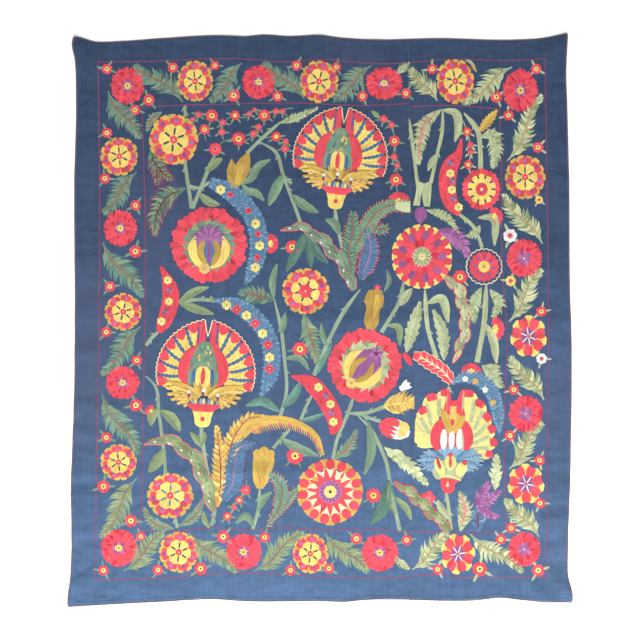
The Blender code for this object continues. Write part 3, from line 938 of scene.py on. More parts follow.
def striped_fan(hand):
    """The great fan flower: yellow petals with blue saw-edged stripes and red tips, and a cup.

    In the motif's own frame the middle of the fan's foot is the origin and its rim is 44 to 59 out.
    """
    for side in (-1, 1):
        for k in range(6):
            clock = side * (FAN_FIRST + FAN_STEP * k)
            rim = rim_of_fan(clock)
            hand.ray(clock, 19, rim - 4, 4.9, "yellow", level=1, rows=13, cols=5, crown=0.7,
                     profile=(0.6, 0.75, 0.9, 1.05, 1.15, 1.2))
            hand.petal(hand.clock_place(clock - side * (FAN_STEP / 2 + 4), 23),
                       hand.clock_place(clock - side * FAN_STEP / 2, rim - 0.5), 2.2,
                       "dusk" if k == 0 else "steel", bow=-0.05 * side, level=2, rows=31, teeth=6, bite=0.66,
                       profile=(0.4, 0.9, 1.1, 1.1, 1, 0.8))
            hand.ray(clock + side * 1.5, 27, rim - 12, 0.5, "gold", level=2.4)
            clocks = np.linspace(clock - FAN_STEP / 2 + 1.7, clock + FAN_STEP / 2 - 1.4, 19)
            outer = fan_arc(clocks, rim_of_fan(clocks) + scallop(clocks))
            inner = fan_arc(clocks, rim_of_fan(clocks) - 3.5 - 5.5 * np.sin(np.linspace(0, np.pi, 19)))
            hand.fill(outer, inner, "red", level=2.6, cols=5, crown=0.8, across=True, ends=0.1, spread=0.14)
        hand.petal((side * 7, -28), (side * 5.4, -58), 4.6, "red", level=3, cols=5, crown=0.8,
                   profile=(1.2, 1.1, 0.95, 0.8, 0.8, 0.4), rows=9)
        hand.petal((side * 8.8, -36), (side * 9.6, -54.5), 1.7, "dusk", level=4, rows=16,
                   teeth=3, bite=0.4)
        clocks = np.linspace(side * 3.4, side * 99, 130)
        hand.band(fan_arc(clocks, rim_of_fan(clocks) + scallop(clocks) + 0.5), 0.42, "cream", level=4,
                  rows=130, cols=3)
        hand.band([(side * 3.5, -59), (side * 1.8, -50), (0, -43)], 0.5, "cream", level=4, cols=3)
    fan_heart(Hand(hand.work, *hand.chart(np.array(HEART_SHIFT)), np.degrees(hand.turn), hand.wide,
                   hand.high, hand.level))
    gold_collar(hand)
    small_cup(hand)


def fan_heart(hand):
    """The egg inside the fan: two red crescents, a green crown, an arch and a yellow core."""
    hand.petal((0, 6), (0, -38), 13.5, "teal", level=4, rows=13, cols=7, crown=0.5,
               profile=(0.8, 1, 1, 0.95, 0.8, 0.3))
    for side in (-1, 1):
        outer = smooth_path([(6, -35), (18, -28), (24.5, -14), (23, 0), (15, 7)], 18) * (side, 1)
        inner = smooth_path([(6, -31), (11, -24), (13.5, -13), (14, -3), (11, 5)], 18) * (side, 1)
        hand.fill(outer, inner, "red", level=5, cols=7, ends=0.15, spread=0.1)
    hand.petal((0, -10), (0, -38.5), 10.5, "leaf", level=6, rows=25, cols=7, teeth=5, bite=0.3, crown=0.7,
               profile=(0.9, 1, 1.05, 1.1, 0.85, 0.1))
    for k in range(36):
        x, y = hand.work.random.uniform((-9, -32), (9, -14))
        slant = hand.work.random.uniform(-2, 2)
        hand.petal((x * (-y / 32 if y < -22 else 1), y), (x * 0.9 + slant, y - 4), 1.15,
                   ("teal", "moss", "pine", "leaf", "teal", "ochre")[k % 6], level=7.5, rows=4,
                   profile=(0.8, 1, 0.8, 0.1))
    hand.band([(-12.3, 5), (-12.6, -7), (-7.5, -14), (0, -16), (7.5, -14), (12.6, -7), (12.3, 5)], 2.2,
              "leaf", level=7, crown=0.6)
    for x in (-9.2, 9.2):
        hand.petal((x, 5), (x, -11), 2.2, "steel", level=7.5, profile=(1, 1, 1, 1, 0.9, 0.5))
    hand.petal((0, 6), (0, -13.5), 7.2, "yellow", level=8, cols=5, crown=0.6,
               profile=(0.9, 1, 1, 1, 0.95, 0.5))
    hand.petal((0, 4), (0, -12.5), 2.3, "red", level=9.5, profile=(0.5, 0.9, 1, 1, 0.8, 0.3))


def barbs(hand, root, tip, shares, length, lean, half, shades, **more):
    """Pairs of short petals that lean out from the line between root and tip, at those shares of it."""
    out, aside = directions(tip - root)
    for share in shares:
        for turn in (-1, 1):
            at = between(root, tip, share)
            hand.petal(at, at + length * out + turn * lean * (1.2 - share) * aside, half, shades[turn > 0],
                       rows=4, profile=(0.9, 1, 0.6, 0.05), **more)


COLLAR_TIPS = [(39, 3), (39.5, 9), (37.5, 15.5), (33, 21), (26, 24.5), (19, 26)]


def gold_collar(hand):
    """Leafy wings under the egg, whose long lobes spread sideways, and short ones that stand up."""
    for side in (-1, 1):
        for k, (x, y) in enumerate(COLLAR_TIPS):
            tip = np.array([side * x, y])
            root = np.array([side * 5, 15])
            hand.petal(root, tip, 3.6, ("gold", "ochre", "olive")[k % 3], level=9, rows=7, bow=0.05 * side,
                       profile=(0.6, 1, 1, 0.8, 0.45, 0.05), spread=0.1)
            barbs(hand, root, tip, (0.42, 0.62, 0.8), 5.2, 3.4, 1.1, ("gold", "ochre"), level=9.6)
            hand.petal(root, between(root, tip, 0.75), 0.5, "rose" if k == 3 else "olive", level=10.6,
                       rows=4)
    for k, clock in enumerate(np.linspace(-66, 66, 11)):
        angle = np.radians(clock)
        root = np.array([7 * np.sin(angle), 19 - 4 * np.cos(angle)])
        tip = root + (13 + k % 2 * 2) * np.array([1.3 * np.sin(angle), -np.cos(angle)])
        hand.petal(root, tip, 3.0, ("gold", "olive", "ochre")[k % 3], level=10, rows=7, spread=0.1,
                   profile=(1, 1, 0.9, 0.7, 0.4, 0.05))


def small_cup(hand):
    """The cup under the fan, its red rim, and the row of stripes and white dots above the rim."""
    for k in range(-5, 6):
        hand.petal((k * 2.6, 27), (k * 2.75, 17.5 + 0.14 * k * k), 1.5, ("yellow", "steel", "sky")[k % 3],
                   level=12, rows=5, profile=(1, 1, 1, 0.9, 0.5))
    for x, y in ((-15, 12), (-1, 9.8), (13.5, 13.5)):
        hand.petal((x, y + 6.5), (x, y + 1), 1.1, "plum", level=13, rows=5, profile=(0.5, 1, 1, 0.6))
        hand.disc(1.8, "white", (x, y), level=14, steps=13, rows=3)
    hand.band([(-16, 24), (-8, 26.6), (0, 27.3), (8, 26.6), (16, 24)], (1.2, 3.9, 4.7, 3.9, 1.2), "red",
              level=13, cols=7, rows=17, crown=0.9)
    left = smooth_path([(-10.4, 29.5), (-9.4, 33), (-8.2, 37), (-7.8, 41), (-6.3, 44.3), (-3, 46)], 12)
    hand.fill(left, left * (-1, 1), "yellow", level=12, cols=7, crown=0.9)
    hand.disc(2.4, "red", (0, 38), level=14, lobes=5, depth=0.15)


FanPetal = namedtuple("FanPetal", "root tip half")

BROAD_FAN_PETALS = [FanPetal(*row) for row in (
    ((-8, -20), (-7, -47), 6.4), ((-15, -12), (-21.5, -42), 7.2), ((-17, -4), (-30.5, -28), 7.2),
    ((17, -14), (20.6, -46), 7.6), ((20, -8), (32.5, -35), 7.4), ((20, -1), (40.5, -20), 6.8),
    ((20, 5), (45.5, -7), 6.2), ((19, 10), (47, 7.5), 5.6), ((19, 14), (42, 20), 4.6),
)]


def broad_fan(hand):
    """The narrow panel's fan flower: yellow petals with red tips, a red egg, blue wings and a cup."""
    for x, y in ((-36, -14), (-36, 0)):
        hand.petal((-13, 2 + 0.5 * y), (x, y), 9, "lemon", level=0.6, rows=9, cols=5,
                   profile=(0.5, 0.8, 1, 1, 0.9, 0.6))
    hand.petal((-14, 7), (-33, 9), 4, "lemon", level=0.6, cols=5, profile=(0.7, 1, 1, 1, 0.8, 0.3))
    for petal in BROAD_FAN_PETALS:
        root, tip = np.array(petal.root, float), np.array(petal.tip, float)
        out, aside = directions(tip - root)
        lower = aside * petal.half * (1 if petal.tip[0] < 0 else -1)
        hand.petal(root, tip - 2.5 * out + 0.3 * lower, petal.half, "lemon", level=1, rows=9, cols=5,
                   crown=0.7, profile=(0.6, 0.75, 0.9, 1, 0.95, 0.4), spread=0.05)
        cap = tip - 0.28 * lower
        hand.petal(cap - 7 * out, cap + 0.6 * out, 0.82 * petal.half, "red", level=2, cols=5, crown=0.8,
                   profile=(0.85, 1, 1, 0.95, 0.85, 0.4), spread=0.14)
        for k in range(9):
            spot = between(root, tip - 11 * out, k / 8) + 0.55 * lower
            for lean in (-1, 1):
                hand.petal(spot, spot + 3.2 * out + 2.3 * lean * aside, 0.95, "sage", level=2.2, rows=4,
                           profile=(0.8, 1, 0.7, 0.1))
    for x in (-35, -30):
        for k in range(8):
            hand.petal((x + 1.5 * k, 2 * k - 12), (x + 1.5 * k + 4, 2 * k - 13), 0.7, "sage", level=2.2,
                       rows=4)
    for x, lean in ((-1.5, -0.5), (7.5, 5)):
        hand.petal((x, -26), (x + lean, -47), 3.4, "red", level=3, cols=5,
                   profile=(1.5, 1.3, 0.9, 0.7, 0.6, 0.2))
    for x, tip in ((-4, (-2, -50)), (12, (13.5, -46))):
        hand.petal((x, -24), tip, 1.5, "sage", level=2.8, rows=7)
    hand.petal((4.5, -18), (4.5, -36), 10.5, "red", level=3.2, cols=7,
               profile=(1, 1, 0.95, 0.85, 0.65, 0.3))
    hand.petal((1.5, 14.5), (1.5, -20), 21.7, "red", level=4, rows=13, cols=9,
               profile=(0.75, 0.97, 1, 0.95, 0.78, 0.4))
    for x, y, half in ((-9.5, -27.5, 4.2), (14, -21, 4.4), (3.4, -31, 3), (-4, -23, 4.4), (8, -23, 4.4)):
        hand.petal((2.5, -5), (x, y), half, "gold", level=6, rows=7, profile=(1.3, 1.2, 1.1, 1, 0.8, 0.15),
                   spread=0.12)
    for k in range(5):
        for lean in (-1, 1):
            hand.petal((3, -17 - 2.6 * k), (3 + 3.6 * lean, -20 - 2.6 * k), 0.9, "ochre", level=7, rows=4)
    hand.petal((2.2, -10.5), (2.2, -17.5), 2.0, "red", level=8, profile=(0.2, 0.8, 1, 0.8, 0.2))
    for x, half in ((-6.6, 3.9), (1, 3.7), (9, 4.1)):
        hand.petal((x, 13), (x + 0.6, -7), half, "white", level=5.4, cols=5,
                   profile=(0.5, 0.85, 1, 1, 0.85, 0.4))
    hand.petal((13, 14), (12, -6), 1.1, "sage", level=6)
    for side in (-1, 1):
        for k in range(9):
            clock = 62 + 11 * k
            root = np.array([7 * side, 22])
            angle = np.radians(clock)
            tip = root + (28 - 0.28 * abs(clock - 100)) * np.array([side * np.sin(angle), -np.cos(angle)])
            hand.petal(root, tip, 4.2, "sky" if k % 2 else "blue", level=6, rows=9, spread=0.14,
                       profile=(0.9, 1, 1, 0.85, 0.5, 0.06))
            barbs(hand, root, tip, (0.4, 0.55, 0.7, 0.85), 4.6, 3.6, 0.8, ("sky", "sky"), level=6.8,
                  spread=0.25)
    hand.petal((1, 34), (1, 10.5), 19, "sky", level=6, cols=7, rows=9, crown=0.4,
               profile=(0.5, 0.8, 1, 1, 0.8, 0.4))
    hand.petal((-2, 43.5), (-1.5, 24), 16, "sage", level=8, cols=7, rows=9, crown=0.6,
               profile=(0.75, 0.95, 1, 0.95, 0.7, 0.4))
    for root, tip, half in (((-7, 40), (-14, 22.5), 4.4), ((0, 34), (0, 19), 6), ((8, 40), (14, 26.5), 5.2)):
        hand.petal(root, tip, half, "lemon", level=9, cols=5, rows=9, profile=(0.3, 0.7, 1, 1, 0.9, 0.4))
    for root, tip, half in (((-10, 32.5), (-14, 20), 1.8), ((0, 31), (0, 19.5), 1.5),
                            ((0, 20.5), (0, 16.5), 2.6), ((13.5, 28.5), (15.5, 24), 2.6)):
        hand.petal(root, tip, half, "red", level=11, rows=5)
    hand.band([(-10, 41.4), (-4, 39.6), (2, 40.4), (10.5, 44)], 1.0, "lemon", level=10, cols=3)
    left = smooth_path([(-10, 41), (-9.6, 47), (-8.4, 53), (-5.5, 57)], 12)
    right = smooth_path([(9.5, 44.2), (5, 47.5), (4.4, 53), (1.5, 57)], 12)
    hand.fill(left, right, "red", level=10.6, cols=7)
    hand.disc(1.6, "lemon", (-2.8, 49), level=12.4, steps=13, rows=3)
    hand.petal((-2.8, 49.5), (-2.4, 44.5), 1.2, "lemon", level=12, rows=4)


def sew_fans():
    """The three great fan flowers, two on the wide panel and one cut by the seam on the narrow one."""
    striped_fan(hand_at("fans", 339, 164, 6, 0.97, 0.97, level=1))
    striped_fan(hand_at("fans", 204.4, 380, 3.6, 1.02, 1.02, level=1))
    broad_fan(hand_at("fans", 450, 436, level=1, side=1))


# The borders: where each motif lies on the chart

Rosette = namedtuple("Rosette", "kind x y wide high")

BORDER_ROSETTES = [Rosette(*row) for row in (
    ("red", 126.6, 84.9, 17, 19), ("gold", 194.3, 80.3, 18, 20.7), ("red", 258, 81, 17, 17),
    ("gold", 318.5, 80.6, 19.5, 21), ("red", 383.7, 82.3, 18.6, 16.7), ("gold", 455, 80.3, 19, 22.4),
    ("red", 520.4, 89.4, 17.6, 21.5), ("gold", 118.5, 155.5, 18.8, 19.5), ("red", 119.4, 227.5, 17, 18.5),
    ("gold", 122.3, 311.3, 18.7, 18.7), ("red", 121.6, 382.4, 17, 17), ("gold", 117.7, 462, 18.2, 18.2),
    ("red", 118, 547.9, 18.8, 19), ("gold", 178, 552.2, 19.8, 20.7), ("red", 242.9, 551.9, 18.4, 18.4),
    ("gold", 309.7, 553.6, 18, 20), ("red", 379.4, 552.7, 19, 19), ("star", 457.6, 553.9, 17, 20),
    ("pale", 524, 549.3, 16.5, 17.7), ("gold", 525, 176.4, 20, 22.4), ("pale", 524, 257.6, 18, 19.5),
    ("star", 528.4, 335.9, 18, 20.7), ("pale", 525.6, 413.4, 17.4, 18.6), ("star", 525.8, 483.8, 18, 20),
)]

Leaf = namedtuple("Leaf", "tip middle root")

BORDER_LEAVES = [Leaf(*row) for row in (
    ((134, 64), (159, 80), (182, 101)), ((210, 99), (227, 80), (241, 62)), ((264, 62), (285, 79), (304, 98)),
    ((334, 99), (353, 80), (371, 65)), ((410, 68), (424, 84), (437, 100)),
    ((463, 102), (490, 82), (512, 66)), ((541.6, 95), (526, 128), (507, 160)),
    ((504, 194), (523, 219), (542.5, 243)), ((541.6, 269), (525, 295), (509, 321)),
    ((509.8, 356.6), (527, 378), (544, 399.6)), ((542.5, 423), (525, 446), (509, 469)),
    ((506, 499), (523, 518), (539, 537)), ((139, 137), (121, 114), (107, 90)),
    ((103, 212), (119, 191), (136, 171.5)), ((141, 296), (120, 269), (102, 242)),
    ((101, 373), (121, 350), (140, 326)), ((137.5, 454), (118, 424), (101, 393)),
    ((100, 536), (119, 507), (136, 478)), ((162.5, 533), (143, 553), (123, 571)),
    ((234.8, 572), (211, 553), (188, 532.5)), ((303, 533), (278, 552), (253, 571)),
    ((367, 572), (345, 553), (324, 533)), ((448, 534), (430, 552), (412, 569.5)),
    ((522, 572), (496, 553), (470, 534)),
)]

Bud = namedtuple("Bud", "x y size petals", defaults=(5, "red"))

BORDER_BUDS = [Bud(*row) for row in (
    (106, 68), (172, 66.5), (214, 64.5, 4.5), (296, 64.4), (148, 99, 5.5), (134, 109), (233, 94.4, 6),
    (277, 95.3), (336, 66, 4.5), (362, 95.3), (405.6, 92.3), (432, 68), (496.3, 96, 5.5), (536, 68),
    (106, 132), (104, 177.6), (134.6, 204.6), (134.6, 250.8, 6), (109, 286), (105.3, 331.6), (135.8, 360),
    (135, 405, 6), (105.5, 437.2), (102.7, 486.2, 6), (130, 520.7, 6), (102.5, 570.3), (140, 536.4, 4.5),
    (157, 570), (199.8, 568.6, 6), (222.4, 536.7, 6), (264, 537.2), (290, 570.3), (328.5, 568.5),
    (356, 538.8, 5.5), (406.4, 540), (437.4, 569.4), (479.6, 569, 7), (500.8, 539.3), (538, 570.3, 6),
    (511, 528), (540, 503), (539.5, 460), (510, 435.3), (513.7, 389.3), (541.6, 358.3, 5, "white"),
    (541.3, 311), (510.6, 280.4, 5, "yellow"), (510, 235, 6.5, "white"), (539, 199, 3.8, "yellow"),
    (538, 146.6), (508.4, 114.4),
)]

# The couched red lines: four outer ones, then four inner ones, as points on the chart

COUCHED_LINES = [
    [(97, 61), (150, 60), (232, 57.5), (290, 60.5), (315, 58.7), (387, 62.7), (409, 61.5)],
    [(409.5, 61.5), (448, 58.2), (500, 59.5), (545, 58)],
    [(94.5, 580), (146, 579), (232, 573), (330, 577), (379, 578), (410, 576.5)],
    [(410.5, 576), (430, 575), (482, 578.4), (515, 577), (547.5, 577)],
    [(97, 61), (98.3, 150), (97.5, 368), (95.3, 488), (94.5, 580)],
    [(545, 58), (547, 175), (548.5, 333), (547.3, 488), (547.5, 577)],
    [(141, 106), (175, 104.4), (215, 103.5), (292, 101.8), (362, 104.4), (408, 102.7)],
    [(410, 105.6), (448, 104.4), (482, 106.4), (499.5, 108)],
    [(138.4, 529.8), (163, 531.5), (215, 527.8), (242, 530), (279, 527.8), (330, 530), (362, 529),
     (410, 531.5)], [(411, 531.5), (450, 532), (506, 532.4)],
    [(141, 106), (142.7, 158), (144.4, 227), (144.4, 299), (143.5, 350), (141.8, 437), (141, 488),
     (138.4, 529.8)], [(499.5, 108), (501, 158), (502.9, 278), (507, 333), (504.6, 402), (504.6, 471),
                       (506, 532.4)],
]


ROSETTE_KINDS = {"red": fringed_rosette, "gold": gold_rosette, "star": star_rosette, "pale": pale_rosette}


works = {}


def work_on(name, x, y):
    """The piece that a motif at that place belongs to: one of that name for each panel."""
    full = ("right_" if right_of_seam(x, y) else "left_") + name
    if full not in works:
        works[full] = Needlework(full, seed=11 + len(works))
    return works[full]


def hand_at(name, x, y, *pose, **more):
    """A hand at that place on the chart, which draws in the piece of that name."""
    return Hand(work_on(name, x, y), x, y, *pose, **more)


def sew_border_rosettes():
    """The large rosettes of the four borders, each turned a little by chance."""
    for rosette in BORDER_ROSETTES:
        work = work_on("border_rosettes", rosette.x, rosette.y)
        hand = Hand(work, rosette.x, rosette.y, 0, rosette.wide / rosette.high,
                    spin=work.random.uniform(-25, 25))
        ROSETTE_KINDS[rosette.kind](hand, rosette.high)


def sew_border_leaves():
    """Acanthus leaves: dark green on the wide panel, pale green on the narrow one, each in an S."""
    for leaf in BORDER_LEAVES:
        pale = right_of_seam(*leaf.middle)
        hand = Hand(work_on("border_leaves", *leaf.middle))
        tip, middle, root = np.array(leaf.tip), np.array(leaf.middle), np.array(leaf.root)
        path = [tip, between(tip, middle, 0.5) + (middle - tip)[::-1] * (-0.09, 0.09), middle,
                between(middle, root, 0.5) + (root - middle)[::-1] * (0.08, -0.08), root]
        if pale:
            shades = ("sage", "lime", "moss")
        elif leaf.middle[1] > 500:
            shades = ("leaf", "moss", "moss")
        else:
            shades = ("leaf", "pine", "teal")
        feathered_leaf(hand, path, 10.5 if pale else 11.5, shades, "bark" if pale else "rib", lobes=14,
                       fullness=0.48)


def sew_border_buds():
    """Small flowers on the borders, each with two or three pale leaflets."""
    for bud in BORDER_BUDS:
        work = work_on("border_buds", bud.x, bud.y)
        hand = Hand(work, bud.x, bud.y, work.random.uniform(-30, 30))
        for k in range(3):
            clock = k * 120 + work.random.uniform(-30, 30)
            hand.ray(clock, 0.8 * bud.size, 2.1 * bud.size, 0.27 * bud.size,
                     "sage" if right_of_seam(bud.x, bud.y) else "leaf")
        blossom(hand, bud.size, bud.petals, "lemon" if bud.petals == "red" else "rose")


def sew_couched_lines():
    """Two strands of red silk laid side by side round both borders."""
    for points in COUCHED_LINES:
        middle = points[len(points) // 2]
        hand = Hand(work_on("couched_lines", *middle))
        hand.band(points, 0.54, "couch", crown=0.9, cols=3, rows=int(0.4 * np.ptp(np.array(points))))


# The field: stems, leaves and small flowers, as points on the chart with the leaf's tip first

Stem = namedtuple("Stem", "half points")

STEMS = [Stem(half, points) for half, *points in (
    (1.9, (184, 104), (184.5, 116)), (2.2, (214.5, 152.6), (207, 170), (201, 185), (191.7, 207.7)),
    (2.0, (183, 154), (187.4, 184), (191, 207.7)), (1.7, (186, 184), (198, 187), (209, 181.5)),
    (1.9, (280, 121), (258, 140.5), (246, 152.6)),
    (1.9, (258, 140.5), (275, 151), (282, 172), (289, 192), (294, 205), (301, 225)),
    (1.6, (281, 173), (291, 183)), (2.0, (158, 331), (152, 336), (145, 345)),
    (1.9, (333.5, 203), (338, 230), (342.5, 250)), (2.0, (178, 302), (196, 299), (215, 300)),
    (2.2, (199.5, 419), (203, 450), (207, 475)),
    (1.9, (273.5, 298), (280, 326), (284, 359), (285.6, 393.6), (279, 418)),
    (2.2, (360, 288.6), (351, 300), (337.6, 321), (326, 345), (313.4, 375)),
    (1.6, (313, 392), (306, 405), (300, 420)),
    (1.8, (145, 375.5), (154, 385), (158, 412.5), (163, 452), (165, 475)),
    (1.8, (290, 428), (281, 438), (272.5, 448)), (1.8, (215, 509), (210.5, 526)),
    (1.9, (259, 488), (258, 508), (252, 529)), (1.7, (174, 517), (176.5, 528)),
    (2.0, (354, 394), (347.5, 413), (336, 441), (332.5, 459)), (2.1, (347.5, 413), (363, 413), (384, 406.5)),
    (1.9, (360, 414), (370, 418), (380, 421)),
    (2.0, (358, 416), (369, 427), (381, 449), (386, 462), (390, 485), (399.5, 531)),
    (2.2, (403.5, 280), (399.5, 300), (390, 317), (381, 332)),
    (1.9, (409, 118), (413, 149), (415, 166), (417.6, 185)),
    (1.9, (442.6, 108), (441.7, 132), (437.4, 151), (430.5, 182)),
    (2.6, (464, 112), (477.5, 130), (480, 148), (480.5, 168)), (1.9, (456, 211), (474, 227), (482, 247)),
    (2.4, (424.5, 289), (428, 330), (436.6, 358)), (2.9, (486, 284), (484.5, 316), (477, 362)),
    (1.8, (445, 487), (449, 512), (451, 530)), (1.8, (448.5, 386), (449, 392)),
)]

Blade = namedtuple("Blade", "kind shade half points")

BLADES = [Blade(kind, shade, half, points) for kind, shade, half, *points in (
    ("feathered", "green", 5, (146, 130), (151, 118), (161, 111)),
    ("plain", "moss", 4.6, (221.5, 157.5), (213, 163), (207, 171)),
    ("plain", "moss", 4.4, (219, 204), (208, 201), (199, 193)),
    ("feathered", "frilled", 8, (171, 179), (161, 171), (154, 162), (149, 150)),
    ("feathered", "frilled", 5.5, (156.5, 184), (156.5, 174), (154, 164)),
    ("feathered", "frilled", 10.5, (154, 234), (154.5, 219), (158.5, 207), (168, 195), (185, 187.5)),
    ("feathered", "pale", 5, (317, 107), (297, 116), (279, 122)),
    ("plain", "leaf", 4.4, (270, 158.6), (257, 166), (250, 178), (241, 183)),
    ("plain", "leaf", 4.2, (263.5, 200), (255, 192), (247, 190), (241, 183)),
    ("plain", "leaf", 5.4, (268, 205), (275, 189), (283, 173)),
    ("plain", "leaf", 5, (318, 212), (306, 206), (291, 194)),
    ("plain", "pine", 5.5, (285.6, 271), (295, 253), (306, 231)),
    ("plain", "pine", 4.5, (327.5, 263), (317, 252), (310, 236)),
    ("plain", "pine", 4.5, (310.6, 267), (309, 252), (307, 234)),
    ("plain", "leaf", 4.5, (325, 219), (333, 222), (339, 234)),
    ("plain", "moss", 2.6, (371, 110), (374, 112), (379, 117)),
    ("haired", "pine", 8, (353, 211), (352, 232), (349, 252), (352, 290)),
    ("haired", "pine", 5, (388, 226), (380, 229), (368, 222)),
    ("plain", "moss", 4.2, (208, 286.5), (194, 291), (178, 302)),
    ("plain", "moss", 4.6, (213, 313.5), (197, 309), (178, 302)),
    ("plain", "moss", 2.4, (210, 295), (211, 298), (208, 301)),
    ("plain", "moss", 3.6, (189.5, 432), (195, 438), (201, 447)),
    ("plain", "moss", 3, (204.5, 432), (203, 438), (199, 446)),
    ("plain", "leaf", 3.8, (276.5, 263), (272, 280), (273, 298)),
    ("feathered", "dark", 10, (239, 292), (254, 294), (273, 300)),
    ("plain", "leaf", 3.6, (285, 312), (283, 323), (280, 334)),
    ("plain", "leaf", 3.4, (308.5, 370), (299, 358), (284, 358)),
    ("plain", "teal", 5, (245, 405), (261, 401), (279, 411)),
    ("plain", "teal", 5, (299.5, 382), (293, 396), (282, 407)),
    ("feathered", "green", 9.5, (318, 364), (311, 340), (303, 313)),
    ("plain", "teal", 2.8, (324, 413), (312, 418), (300, 420)),
    ("plain", "teal", 2.8, (331, 344), (324, 358), (316, 374)),
    ("plain", "moss", 5.6, (179.5, 431), (171, 418), (160, 410)),
    ("plain", "moss", 5.2, (150, 425), (152, 414), (159, 409)),
    ("plain", "moss", 6, (148, 472), (156, 462), (164, 449)),
    ("feathered", "gold", 8.5, (216, 426), (219, 452), (220, 480), (217, 507)),
    ("feathered", "gold", 8.5, (266.5, 417), (249, 418), (236, 432), (226, 470)),
    ("haired", "teal", 6.5, (269, 473), (280, 484), (279, 505), (266, 528)),
    ("haired", "teal", 4.6, (296, 489), (288, 500), (279, 514)),
    ("plain", "leaf", 4.2, (271, 492), (263, 499), (257, 511)),
    ("plain", "leaf", 4, (235, 523), (245, 516), (253, 526)),
    ("feathered", "green", 6, (143, 507), (151, 522), (173, 529)),
    ("feathered", "green", 6, (201.5, 499), (196, 514), (179, 526)),
    ("plain", "moss", 3, (203, 511), (204, 520), (209, 528)),
    ("plain", "leaf", 5, (318, 455.6), (300, 449), (279, 438)),
    ("plain", "leaf", 2.5, (386, 268.5), (389, 280), (384, 291)),
    ("plain", "leaf", 3.2, (321, 323), (322, 333), (326, 346)),
    ("plain", "leaf", 4.8, (364, 474.5), (371, 452), (368, 421)),
    ("feathered", "green", 6.5, (356.5, 430), (349, 445), (334, 459)),
    ("feathered", "light", 8, (427, 485), (409, 466), (384, 447)),
    ("plain", "pine", 7, (370, 524), (384, 506), (389, 480)),
    ("plain", "moss", 3.4, (395, 515), (390, 500), (389, 484)),
    ("plain", "moss", 3.6, (411, 520), (406, 508), (395, 497)),
    ("feathered", "ochre", 11, (419, 402), (403, 403), (383, 406)),
    ("plain", "sage", 4.6, (411.5, 288), (406, 295), (400, 305)),
    ("plain", "moss", 3.6, (399.5, 345), (397, 326), (387, 325)),
    ("jagged", "sage", 7, (420, 301), (413, 326), (406, 352)),
    ("feathered", "branch", 8.5, (418, 163), (419.5, 143), (424, 124), (441, 108.5)),
    ("plain", "sage", 4.6, (454.5, 141), (458, 128), (455, 112), (442, 109)),
    ("plain", "sage", 3.2, (427.5, 170), (431, 162), (436, 153)),
    ("feathered", "sage", 5, (458.5, 232), (446, 216), (426, 209)),
    ("feathered", "violet", 9.5, (468.5, 256), (458, 238), (436, 229)),
    ("jagged", "gold", 5, (497, 109), (489, 119), (479, 131)),
    ("feathered", "sage", 9, (492.5, 167), (496, 148), (492, 134), (480, 136)),
    ("plain", "sage", 4.4, (494.5, 245), (492, 217), (478, 217)),
    ("feathered", "sage", 5.4, (467, 236), (474, 233), (480, 225)),
    ("plain", "sage", 5, (448, 322), (440, 298), (427, 303)),
    ("jagged", "sage", 6.6, (433, 309), (442, 331), (444, 360)),
    ("feathered", "sage", 7, (474, 322), (474, 304), (481, 287)),
    ("feathered", "sage", 7, (492.5, 317), (499, 303), (490, 289)),
    ("plain", "sage", 4.6, (496.5, 363), (492, 336), (485, 323)),
    ("feathered", "sage", 8.5, (501, 387), (494, 375), (482, 365)),
    ("jagged", "sage", 4.6, (437.5, 500), (442, 510), (450, 519)),
    ("feathered", "branch", 8.5, (460, 492), (465, 510), (460, 531)),
    ("feathered", "violet", 7, (489, 482), (482, 494), (476, 508)),
    ("feathered", "violet", 6.5, (500.5, 490), (490, 499), (476, 506)),
    ("feathered", "violet", 6, (499.5, 517), (489, 514), (475, 502)),
    ("feathered", "blue", 8, (476, 510), (478, 520), (477, 532)),
    ("feathered", "light", 6.5, (496.5, 454), (496, 470), (495, 490)),
    ("jagged", "sage", 4, (500, 366), (493, 367), (484, 366)),
    ("plain", "sage", 1.7, (475, 66), (470, 61), (465, 58.5)),
    ("plain", "gold", 1.5, (476.5, 71), (473, 66), (471, 62)),
    ("feathered", "sage", 4.6, (409, 62), (403, 67), (396, 72)),
    ("feathered", "sage", 4.6, (409, 569), (401, 564), (394, 556)),
)]

LEAF_SHADES = {
    "green": (("leaf", "moss", "teal"), "rib"),
    "dark": (("pine", "teal", "leaf"), "rib"),
    "pale": (("sage", "moss", "sage"), None),
    "light": (("lime", "sage", "lime"), None),
    "branch": (("sage", "moss", "sage"), "rose"),
    "sage": (("sage", "moss", "sage"), None),
    "gold": (("gold", "gold", "ochre"), "couch"),
    "ochre": (("ochre", "gold", "olive"), None),
    "violet": (("purple", "lilac", "lilac"), None),
    "blue": (("blue", "sky", "blue"), "plum"),
    "frilled": (("pine", "leaf", "moss"), "maroon"),
}

Sprig = namedtuple("Sprig", "x y size heart", defaults=(None,))

